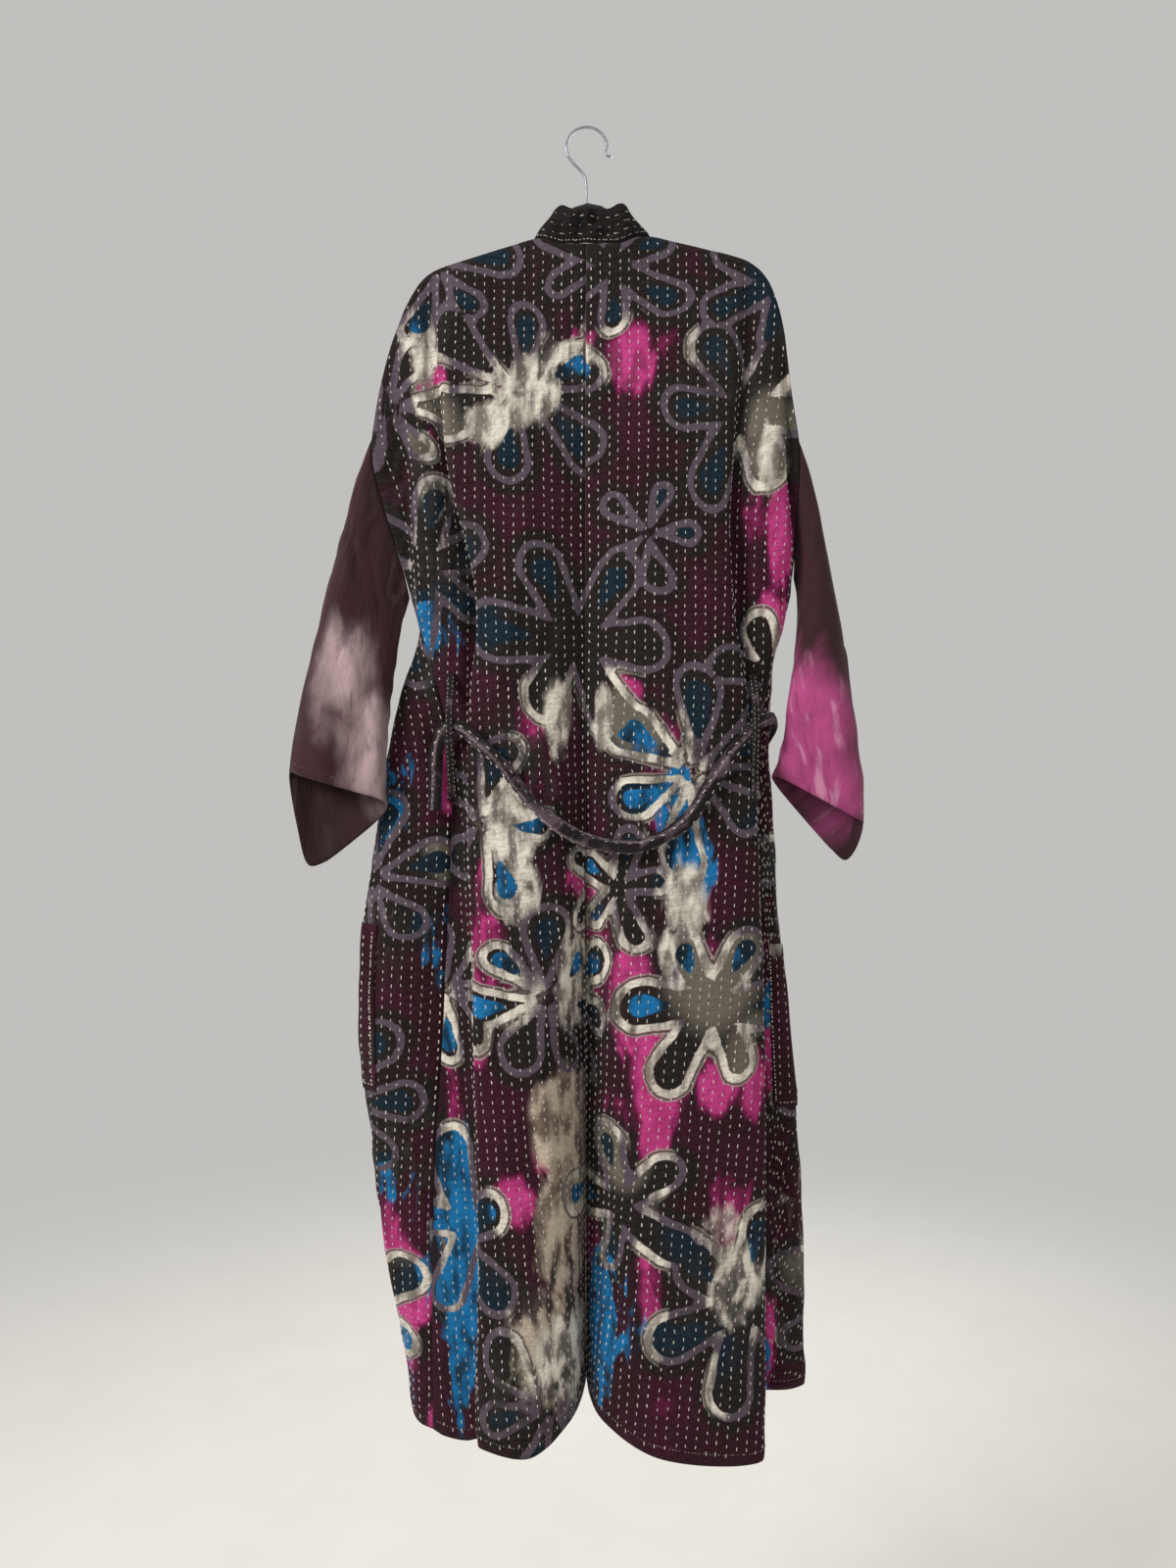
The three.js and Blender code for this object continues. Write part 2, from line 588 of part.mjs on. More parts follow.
// A patch on a panel is made from the panel's points, moved out.
function pocketWall(name, half, range, material) {
  const cut = (columns) => columns.slice(range.fromSide, range.toFront + 1)
    .map((column) => column.slice(range.top, range.bottom + 1));
  const below = QUILT / 2 + SEAM_GAP;
  return panelWall(name, cut(half.front), cut(half.frontNormals), !half.onLeft,
    below, below + QUILT, material);
}

// The sash is a flattened roll swept along its route.
function sashMesh(material) {
  const route = smoothThrough(SASH.map(({ x, y, z }) => new THREE.Vector3(x, y, z)));
  const positions = [];
  const triangles = [];
  for (let k = 0; k <= SASH_STEPS; k += 1) {
    const t = k / SASH_STEPS;
    const centre = route.getPoint(t);
    const at = t * (SASH.length - 1);
    const row = Math.min(Math.floor(at), SASH.length - 2);
    const turn = SASH[row].facing + (SASH[row + 1].facing - SASH[row].facing) * (at - row);
    const face = new THREE.Vector3(Math.cos(turn * Math.PI / 180), Math.sin(turn * Math.PI / 180), 0);
    const tangent = route.getTangent(t);
    const across = tangent.clone().cross(face).normalize();
    const thick = across.clone().cross(tangent).normalize();
    for (let s = 0; s < SASH_SIDES; s += 1) {
      const angle = 2 * Math.PI * (s + 0.5) / SASH_SIDES;
      const p = centre.clone()
        .addScaledVector(across, SASH_HALF_WIDTH * Math.cos(angle))
        .addScaledVector(thick, SASH_HALF_THICK * Math.sin(angle));
      positions.push(p.x, p.y, p.z);
    }
  }
  const at = (k, s) => k * SASH_SIDES + (s % SASH_SIDES);
  for (let k = 0; k < SASH_STEPS; k += 1) {
    for (let s = 0; s < SASH_SIDES; s += 1) {
      triangles.push(at(k, s), at(k + 1, s), at(k + 1, s + 1));
      triangles.push(at(k, s), at(k + 1, s + 1), at(k, s + 1));
    }
  }
  for (let s = 1; s < SASH_SIDES - 1; s += 1) {
    triangles.push(at(0, 0), at(0, s), at(0, s + 1));
    triangles.push(at(SASH_STEPS, 0), at(SASH_STEPS, s + 1), at(SASH_STEPS, s));
  }
  return meshFrom('belt', positions, triangles, material);
}

// A belt loop is a flat strip bent round the sash.
function loopMesh(name, { x, path }, material) {
  const curve = smoothThrough(path.map(([y, z]) => new THREE.Vector3(x, y, z)));
  const spine = evenly(curve, 0, 1, 14);
  const grid = [-LOOP_HALF_WIDTH, 0, LOOP_HALF_WIDTH]
    .map((shift) => spine.map((point) => point.clone().add(new THREE.Vector3(shift, 0, 0))));
  return wall(name, grid, gridNormals(grid), -LOOP_CLOTH / 2, LOOP_CLOTH / 2, material);
}

// The hanger's flat body: two arms and the hump that takes the hook.
function hangerBody(material) {
  const right = ARM_TOP.map(([x, z]) => new THREE.Vector2(x, z));
  const left = ARM_TOP.slice(1).map(([x, z]) => new THREE.Vector2(-x, z)).reverse();
  const top = [...left, ...right];
  const under = top.map(({ x, y }) => {
    const tip = Math.abs(x) > ARM_TOP[ARM_TOP.length - 2][0];
    return new THREE.Vector2(x, y - (tip ? ARM_DEPTH * 0.6 : ARM_DEPTH));
  }).reverse();
  const outline = new THREE.Shape([...top, ...under]);
  const bevel = 1;
  const geometry = new THREE.ExtrudeGeometry(outline, {
    depth: 2 * (ARM_HALF_THICK - bevel), bevelEnabled: true, bevelSegments: 1,
    bevelThickness: bevel, bevelSize: bevel, bevelOffset: -bevel,
  });
  geometry.translate(0, 0, bevel - ARM_HALF_THICK);
  const mesh = new THREE.Mesh(geometry, material);
  mesh.name = 'hanger_body';
  mesh.rotation.x = Math.PI / 2;
  const tilted = new THREE.Group();
  tilted.position.set(0, 0, STEM_FOOT);
  tilted.rotation.y = -HANGER_TILT * Math.PI / 180;
  mesh.position.set(0, 0, -STEM_FOOT);
  tilted.add(mesh);
  return tilted;
}

// The wire: a stem, the round of the hook over the origin, and its flared tip.
function hangerHook(material) {
  const [cx, cz] = HOOK_CENTRE;
  const points = [
    new THREE.Vector3(-2, 0, STEM_FOOT + SEAM_GAP),
    new THREE.Vector3(-2, 0, -70),
    new THREE.Vector3(-4, 0, -56),
  ];
  for (let angle = 225; angle >= -20; angle -= 24.5) {
    const turn = angle * Math.PI / 180;
    points.push(new THREE.Vector3(cx + HOOK_RADIUS * Math.cos(turn), 0,
      cz + HOOK_RADIUS * Math.sin(turn)));
  }
  points.push(new THREE.Vector3(cx + HOOK_RADIUS + 5, 0, cz - 11));
  const circle = new THREE.Shape();
  circle.absarc(0, 0, WIRE_RADIUS, 0, 2 * Math.PI);
  const geometry = new THREE.ExtrudeGeometry(circle, {
    steps: 56, curveSegments: 5, bevelEnabled: false, extrudePath: smoothThrough(points),
  });
  const mesh = new THREE.Mesh(geometry, material);
  mesh.name = 'hanger_hook';
  return mesh;
}

const clothMaterial = (color) => new THREE.MeshStandardMaterial({ color, roughness: 0.95, metalness: 0 });
const quiltMaterial = clothMaterial(0x33141f);
const plainMaterial = clothMaterial(0x35191a);
const bandMaterial = clothMaterial(0x1b1716);
const sashMaterial = clothMaterial(0x2a2626);
const flockMaterial = clothMaterial(0x0c0c0d);
const wireMaterial = new THREE.MeshStandardMaterial({ color: 0xc9cbd0, roughness: 0.25, metalness: 1 });

const leftHalf = halfRobe('left', SHOULDER_LEFT, BACK_LEFT, FRONT_LEFT);
const rightHalf = halfRobe('right', SHOULDER_RIGHT, BACK_RIGHT, FRONT_RIGHT);
joinBacks(leftHalf, rightHalf);
const halfQuilt = QUILT / 2;

const kimono = new THREE.Group();
for (const [side, half, cuff, pocket] of [
  ['left', leftHalf, CUFF_LEFT, POCKET_LEFT], ['right', rightHalf, CUFF_RIGHT, POCKET_RIGHT],
]) {
  kimono.add(panelWall(`back_${side}`, half.back, half.backNormals, !half.onLeft,
    -halfQuilt, halfQuilt, quiltMaterial));
  kimono.add(panelWall(`front_${side}`, half.front, half.frontNormals, !half.onLeft,
    -halfQuilt, halfQuilt, quiltMaterial));
  kimono.add(pocketWall(`pocket_${side}`, half, pocket, quiltMaterial));
  const { rings, firstNormals } = sleeveRings(half, cuff);
  const turned = (ring) => (half.onLeft ? ring : [ring[0], ...ring.slice(1).reverse()]);
  kimono.add(tubeWall(`sleeve_${side}`, rings.map(turned), turned(firstNormals), SLEEVE_CLOTH,
    plainMaterial));
}
const band = neckband(leftHalf, rightHalf);
kimono.add(wall('neckband', band.grid, band.normals, -BAND_CLOTH / 2, BAND_CLOTH / 2,
  bandMaterial));
kimono.add(sashMesh(sashMaterial));
kimono.add(loopMesh('belt_loop_left', LOOP_LEFT, bandMaterial));
kimono.add(loopMesh('belt_loop_right', LOOP_RIGHT, bandMaterial));
kimono.add(hangerBody(flockMaterial));
kimono.add(hangerHook(wireMaterial));

export default kimono;
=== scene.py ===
# Looks of a quilted cotton kimono on a slim hanger, hung from a wire hook.
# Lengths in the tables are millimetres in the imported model's frame: -Y is the back.
import math

import bpy
import numpy as np
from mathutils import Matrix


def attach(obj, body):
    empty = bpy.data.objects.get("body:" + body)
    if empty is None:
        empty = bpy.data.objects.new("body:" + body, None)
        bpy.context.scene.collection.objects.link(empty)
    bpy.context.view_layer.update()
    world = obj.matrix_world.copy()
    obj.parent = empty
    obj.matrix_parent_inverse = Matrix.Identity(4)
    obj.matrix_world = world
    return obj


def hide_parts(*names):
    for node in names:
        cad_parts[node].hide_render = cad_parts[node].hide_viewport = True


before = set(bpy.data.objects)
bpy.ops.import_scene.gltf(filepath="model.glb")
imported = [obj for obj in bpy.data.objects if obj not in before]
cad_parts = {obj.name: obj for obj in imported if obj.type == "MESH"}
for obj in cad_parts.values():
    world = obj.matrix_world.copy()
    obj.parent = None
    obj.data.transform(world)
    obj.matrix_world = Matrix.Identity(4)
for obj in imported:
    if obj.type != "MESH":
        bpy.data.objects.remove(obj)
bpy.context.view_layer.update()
rng = np.random.default_rng(11)
scene = bpy.context.scene
scene.view_settings.view_transform = "Standard"

# The camera, at the photograph's place and lens.
CAMERA_PLACE = (0.0, -1.382, -0.769)
FOCAL_PIXELS = 1202.0
PHOTO_SIZE = (1200, 1600)
SENSOR = 36.0

# Cloth walls and how the panels are divided.
QUILT = 2.0
SLEEVE_CLOTH = 1.4
BAND_CLOTH = 3.6
NECK_PART = 4
FRONT_ACROSS = 15
BACK_ACROSS = NECK_PART + FRONT_ACROSS
ROWS_TO_ARMPIT = 8
ROWS_TO_HEM = 20
ROWS = ROWS_TO_ARMPIT + ROWS_TO_HEM
FINE_ACROSS = 4
FINE_DOWN = 8
TURN_OUT = 4.6
TURN_DOWN = 4.2
# The neck seam bends at these shares of the way from its centre to its corner.
NECK_BENDS = (0.56, 0.9)
SHOULDER_STEPS = 200
# Which of a panel's sections lie at the armpit and at the hem. Its top is number 0.
ARMPIT_LEVEL = 2
HEM_LEVEL = 6
# How thick a cloth's two outermost rows are, as shares of its wall, and a sleeve's ends.
EDGE_SHARES = (0.35, 0.8)
SLEEVE_EDGE_SHARE = 0.5

# Relief: listed creases over two soft noises, each with its cells and its height.
CREASE_DEPTH = 2.3
UNEVENNESS = 1.3
RIPPLES = (((14, 60), 0.45), ((7, 20), 0.6))
RELIEF_SEED = 20
FADE_POINTS = 4

# Stitches: from one to the next, their length, and how far they keep from the row's ends.
KANTHA = (10.6, 5.2, 6.0)
CROSSWISE_KANTHA = (18.02, 5.2, 6.0)
HEM_STITCH = (4.4, 2.9, 3.0)
POCKET_STITCH = (4.4, 2.9, 6.0)
SLEEVE_STITCH = (4.2, 2.9, 1.0)
NECK_SEAM = (4.4, 3.0, 6.0)
BAND_STITCH = (11.5, 4.8, 6.0)
SASH_STITCH = (13.5, 5.0, 6.0)
LOOP_STITCH = (6.0, 3.6, 2.0)
TACK = (12.5, 11.0, 0.5)
# Rows of running stitches: the first, where they stop, and from one to the next.
KANTHA_ROWS = (5, 420, 11.3)
CROSSWISE_ROWS = (14, 1400, 14.69)
POCKET_ROWS = (8, 300, 11.3)
CROSSWISE_PANEL = "front_right"
ROW_MARGIN = 4.0
# Handwork is uneven: each stitch's place, its length's share and its lean, and each row.
STITCH_SHIFT = 1.2
STITCH_SHARES = (0.75, 1.15)
STITCH_LEAN = 0.35
BAND_LEAN = 1.5
SASH_SLANT = 0.3
STITCH_DRIFT = 0.9
DRIFT_LENGTH = 55
# Threads: how wide they are, and how far they stand up.
KANTHA_THREAD = (1.7, 0.6)
BAND_THREAD = (1.0, 0.6)
SASH_THREAD = (1.0, 0.45)
TACK_THREAD = (1.0, 0.5)
HEM_THREAD = (0.8, 0.4)
LOOP_THREAD = (0.8, 0.3)
SLEEVE_THREAD = (0.7, 0.3)
THREAD_DEPTH = 0.5
THREAD_SHOULDERS = (0.2, 0.8)
# Topstitching and the neck seam pull the cloth in, so their threads lie lower.
PULLED_IN = 0.1
NECK_PULLED_IN = 0.4
# The tacks below the neck: x, and z at the top and the bottom.
NECK_TACKS = ((-21, -196, -236), (41, -196, -234))
TACK_ROW = 10

PANELS = (("left", "back"), ("left", "front"), ("right", "back"), ("right", "front"))

# The sections' heights, then each seam and fold.
CHEST = -400
WAIST = -720
HIP = -1000
KNEE = -1270
CENTRE_SEAM = [
    (-2, -11, -140), (-3, -12, CHEST), (-3, -10, -537), (-3, -5, WAIST),
    (-3, 5, HIP), (-3, 20, KNEE), (-2, 30, -1480),
]
SHOULDER = {
    "left": [(-63, 0, -130), (-138, 0, -153), (-187, 0, -172), (-207, 0, -197),
             (-224, 0, -238), (-233, 0, -263), (-247, 0, -321), (-253, 0, -364)],
    "right": [(72, 0, -127), (138, 0, -142), (187, 0, -156), (209, 0, -176),
              (222, 0, -206), (230, 0, -252), (237, 0, -309), (247, 0, -367)],
}
# The column of the grid that follows each fold of the back, and where that column
# starts along the shoulder line, as a share of it.
BACK_FOLDS = [
    ("inner", 2, None), ("crest", 5, 0.08), ("edge", 9, 0.335), ("tuck", 11, 0.37),
    ("lobe", 14, 0.45), ("rim", 16, 0.6), ("under", 17, 0.67), ("side", 19, 1.0),
]
FRONT_FOLDS = [("side", 0, None), ("wrap", 2, None), ("turn", 4, None), ("pleat", 6, None),
               ("dip", 9, None), ("swell", 12, None), ("edge", 15, None)]
BACK = {
    "left": [
        dict(z=CHEST, inner=(-40, -19), crest=(-90, -24), edge=(-160, -21), tuck=(-163, -4),
             lobe=(-184, -16), rim=(-206, -12), under=(-210, -2), side=(-250, -6)),
        dict(z=-549, inner=(-35, -24), crest=(-68, -32), edge=(-127, -29), tuck=(-130, -7),
             lobe=(-160, -20), rim=(-196, -18), under=(-203, -4), side=(-208, 4)),
        dict(z=WAIST, inner=(-32, -26), crest=(-70, -37), edge=(-137, -29), tuck=(-139, -10),
             lobe=(-147, -5), rim=(-153, -1), under=(-159, 2), side=(-164, 3)),
        dict(z=HIP, inner=(-28, -36), crest=(-65, -52), edge=(-129, -46), tuck=(-132, -17),
             lobe=(-141, -8), rim=(-151, -2), under=(-160, 1), side=(-168, 3)),
        dict(z=KNEE, inner=(-28, -45), crest=(-62, -64), edge=(-122, -56), tuck=(-126, -24),
             lobe=(-139, -16), rim=(-153, -12), under=(-167, -9), side=(-181, -5)),
        dict(inner=(-16, -36, -1490), crest=(-64, -72, -1519), edge=(-122, -58, -1515),
             tuck=(-126, -27, -1522), lobe=(-139, -20, -1528), rim=(-153, -17, -1528),
             under=(-168, -13, -1526), side=(-181, -6, -1522)),
    ],
    "right": [
        dict(z=CHEST, inner=(38, -19), crest=(90, -24), edge=(163, -20), tuck=(167, -4),
             lobe=(203, -17), rim=(227, -12), under=(230, -2), side=(246, -6)),
        dict(z=-525, inner=(35, -24), crest=(80, -31), edge=(163, -27), tuck=(167, -6),
             lobe=(205, -21), rim=(232, -16), under=(237, -4), side=(240, 5)),
        dict(z=WAIST, inner=(32, -26), crest=(75, -36), edge=(188, -28), tuck=(190, -10),
             lobe=(194, -1), rim=(197, 5), under=(200, 9), side=(202, 12)),
        dict(z=HIP, inner=(28, -36), crest=(75, -50), edge=(198, -39), tuck=(200, -14),
             lobe=(202, -3), rim=(204, 5), under=(206, 10), side=(207, 14)),
        dict(z=KNEE, inner=(28, -45), crest=(80, -64), edge=(199, -46), tuck=(201, -20),
             lobe=(203, -8), rim=(205, 2), under=(207, 9), side=(209, 15)),
        dict(inner=(12, -36, -1490), crest=(75, -72, -1518), edge=(196, -56, -1531),
             tuck=(200, -27, -1526), lobe=(203, -12, -1512), rim=(206, 0, -1500),
             under=(208, 9, -1493), side=(210, 16, -1488)),
    ],
}
FRONT = {
    "left": [
        dict(z=CHEST, side=(-250, 6), wrap=(-236, 10), turn=(-214, 14), pleat=(-180, 19),
             dip=(-140, 22), swell=(-100, 17), edge=(-62, 18)),
        dict(z=-549, side=(-208, 4), wrap=(-201, 15), turn=(-193, 24), pleat=(-180, 30),
             dip=(-150, 15), swell=(-105, 33), edge=(-64, 22)),
        dict(z=WAIST, side=(-164, 3), wrap=(-200, -1), turn=(-232, 14), pleat=(-215, 36),
             dip=(-165, 26), swell=(-115, 45), edge=(-70, 36)),
        dict(z=HIP, side=(-168, 3), wrap=(-220, -3), turn=(-271, 18), pleat=(-256, 46),
             dip=(-212, 40), swell=(-165, 58), edge=(-118, 50)),
        dict(z=KNEE, side=(-181, -5), wrap=(-214, -3), turn=(-247, 20), pleat=(-232, 50),
             dip=(-188, 38), swell=(-140, 68), edge=(-96, 58)),
        dict(side=(-181, -6, -1522), wrap=(-196, 2, -1520), turn=(-208, 24, -1517),
             pleat=(-200, 52, -1522), dip=(-162, 34, -1526), swell=(-120, 74, -1530),
             edge=(-84, 60, -1532)),
    ],
    "right": [
        dict(z=CHEST, side=(246, 6), wrap=(236, 10), turn=(214, 14), pleat=(180, 19),
             dip=(140, 22), swell=(100, 17), edge=(60, 18)),
        dict(z=-525, side=(240, 5), wrap=(233, 15), turn=(223, 23), pleat=(195, 30),
             dip=(152, 15), swell=(105, 33), edge=(62, 20)),
        dict(z=WAIST, side=(202, 12), wrap=(209, 16), turn=(212, 26), pleat=(194, 44),
             dip=(140, 22), swell=(95, 48), edge=(60, 34)),
        dict(z=HIP, side=(207, 14), wrap=(223, 15), turn=(237, 26), pleat=(222, 50),
             dip=(170, 32), swell=(118, 60), edge=(72, 48)),
        dict(z=KNEE, side=(209, 15), wrap=(234, 17), turn=(255, 30), pleat=(240, 57),
             dip=(184, 38), swell=(130, 68), edge=(82, 58)),
        dict(side=(210, 16, -1488), wrap=(238, 21, -1490), turn=(261, 40, -1492),
             pleat=(245, 69, -1496), dip=(190, 46, -1500), swell=(136, 78, -1504),
             edge=(88, 64, -1506)),
    ],
}
# The neckband's way across, from its seam to its edge.
BAND_WIDTH = {"chest": (48, 2, 4), "corner": (29, 1, 37), "nape": (2, 3, 44)}
BAND_SEAM_GAP = 0.3
# Above the armpit the band lies this much further forward.
BAND_OUT = 1.5
BAND_FINER = 6
BAND_COLUMNS = 13
BAND_ROWS = (3, 6, 9)
BAND_CRUMPLE = {"cells": (110, 3), "seed": 5, "least": 0.5, "nape": 2.0, "spread": 26.0}
# How far apart seams and walls keep, over how many rows, and how often a seam's normals
# are smoothed.
SEAM_GAP = 0.06
SEAM_SMOOTHING = 8
WALLS_APART = 2.5
ROWS_APART = 5
ARMHOLE_GAP = 1.1
ARMPIT_GAP = 2.2
NECK_GAP = 0.5
# The cuffs: outer and inner corner, how far the lips fall, and how far the sleeve bows.
CUFF = {
    "left": dict(outer=(-345, -16, -756), inner=(-233, -17, -788), fall=103, bow=-9),
    "right": dict(outer=(319, -14, -814), inner=(214, -12, -757), fall=54, bow=12),
}
# Round a cuff: the share of the way across, the depth, and the share of the fall.
CUFF_RING = np.array([
    (0.00, 0, 0), (0.10, -9, 0), (0.25, -14, 0), (0.42, -16, 0), (0.58, -15, 0), (0.74, -13, 0),
    (0.88, -10, 0), (0.97, -6, 0.02), (1.00, 1, 0.07), (0.94, 7, 0.19), (0.81, 11, 0.36),
    (0.65, 14, 0.55), (0.48, 15, 0.75), (0.32, 14, 0.92), (0.17, 11, 1.00), (0.06, 6, 0.62),
])
# The sleeves' rows, fullness, how much finer the cloth is, its noise and its fade.
SLEEVE_ROWS = 11
SLEEVE_FULLNESS = 4.5
SLEEVE_FINER = (7, 6)
SLEEVE_NOISE = {"left": ((16, 12), 81), "right": ((16, 12), 91)}
SLEEVE_FADE = 5
# The pockets' columns and rows on the fronts.
POCKET = {
    "left": dict(near=3, far=12, top=16, bottom=20),
    "right": dict(near=1, far=12, top=17, bottom=21),
}
POCKET_GAP = 0.3
# The sash's section, how often it is divided, the length of its twist, and its noise.
SASH_HALF_WIDTH = 8.5
SASH_HALF_THICK = 4.5
SASH_STEPS = 460
SASH_SIDES = 20
SASH_TWIST = 70
SASH_NOISE = ((120, 5), 3, 0.045)
# The sash's route: x, y, z, and the way its flat side looks, in degrees.
SASH = np.array([
    (-178, -13, -800, 270), (-177, -13, -765, 270), (-176, -13, -730, 265), (-168, -18, -709, 245),
    (-155, -32.1, -703, 235), (-141, -40, -708, 258), (-122, -47, -724, 268),
    (-100, -50, -744, 270), (-61, -53, -793, 270), (-22, -53, -823, 270), (22, -53, -838, 270),
    (66, -54, -837, 270), (111, -52, -811, 270), (139, -49, -769, 270), (168, -44, -728, 272),
    (189, -40, -704, 285), (206, -22, -694, 320), (217, 4, -692, 355), (222, 32, -700, 380),
    (212, 56, -722, 430), (203, 62, -760, 450), (200, 64, -850, 450), (201, 66, -960, 450),
    (203, 69, -1080, 450), (206, 72, -1200, 450), (208, 77, -1330, 450), (209, 81, -1450, 450),
], float)
# The loops: x, then y, z down each one.
LOOP = {
    "left": (-158.5, [(-13.7, -640), (-20, -656), (-35, -682), (-39.5, -704), (-36, -726),
                      (-16, -764), (0.2, -790)]),
    "right": (191, [(-11.2, -640), (-22, -654), (-41, -676), (-48, -700), (-43, -726),
                    (-37, -760), (-34.7, -792)]),
}
LOOP_HALF_WIDTH = 4.5
LOOP_HALF_THICK = 0.8
LOOP_CLEAR = 1.6
LOOP_STEPS = 70
LOOP_COLUMNS = 7

# The stage, in metres: each light's place, what it looks at, its size and power.
LIGHTS = {
    "key": ((-2.2, -1.6, 0.7), (0, 0, -0.75), 1.0, 80),
    "fill": ((1.8, -2.0, -0.4), (0, 0, -0.8), 1.8, 10),
    "back_fill": ((0.6, 2.4, 0.3), (0, 0, -0.8), 2.0, 45),
}
FLOOR_HALF = 4.0
FLOOR_HEIGHT = -2.1
FLOOR_FADES = (2.2, 3.9)
WORLD_COLOUR = (0.86, 0.85, 0.83, 1)
WORLD_STRENGTH = 0.62

# How materials shine, and how long a millimetre is in metres.
CLOTH_SPECULAR = 0.12
METAL_SPECULAR = 0.5
SHEEN_ROUGHNESS = 0.6
MILLIMETRE = 0.001

# The print: flowers of round petals, each with a drop inside. An open flower's petals run
# into its centre, a closed one's are loops that meet there. Each row is x, z of the centre,
# its reach, how many petals, its turn in degrees, and whether it is open.
BACK_FLOWERS = [
    (-84, -310, 118, 6, 8, False), (174, -330, 114, 6, 30, True), (-16, -599, 122, 6, 33, True),
    (116, -752, 112, 6, 5, False), (-46, -1012, 100, 7, 4, False), (138, -1012, 106, 6, 30, True),
    (170, -1345, 116, 6, 8, True), (-136, -1285, 104, 5, -12, True), (-118, -812, 96, 5, 18, False),
    (-190, -520, 100, 6, 10, True), (34, -1236, 92, 5, 50, True), (22, -158, 90, 6, 0, True),
    (-172, -166, 90, 6, 20, False), (226, -170, 90, 6, 5, True), (-170, -1010, 92, 6, 0, False),
    (-40, -1466, 92, 6, 20, False), (212, -640, 92, 6, 40, True), (-232, -330, 84, 6, 30, False),
    (62, -474, 66, 5, 20, False), (30, -880, 70, 5, 10, True),
]
FRONT_FLOWERS = [
    (150, -300, 112, 6, 12, True), (240, -480, 114, 6, 28, False), (110, -600, 108, 7, 0, True),
    (210, -760, 114, 6, 18, True), (96, -880, 108, 6, 44, False), (232, -1010, 110, 6, 6, True),
    (128, -1150, 114, 7, 20, False), (236, -1290, 108, 6, 36, True), (110, -1400, 110, 6, 8, True),
]
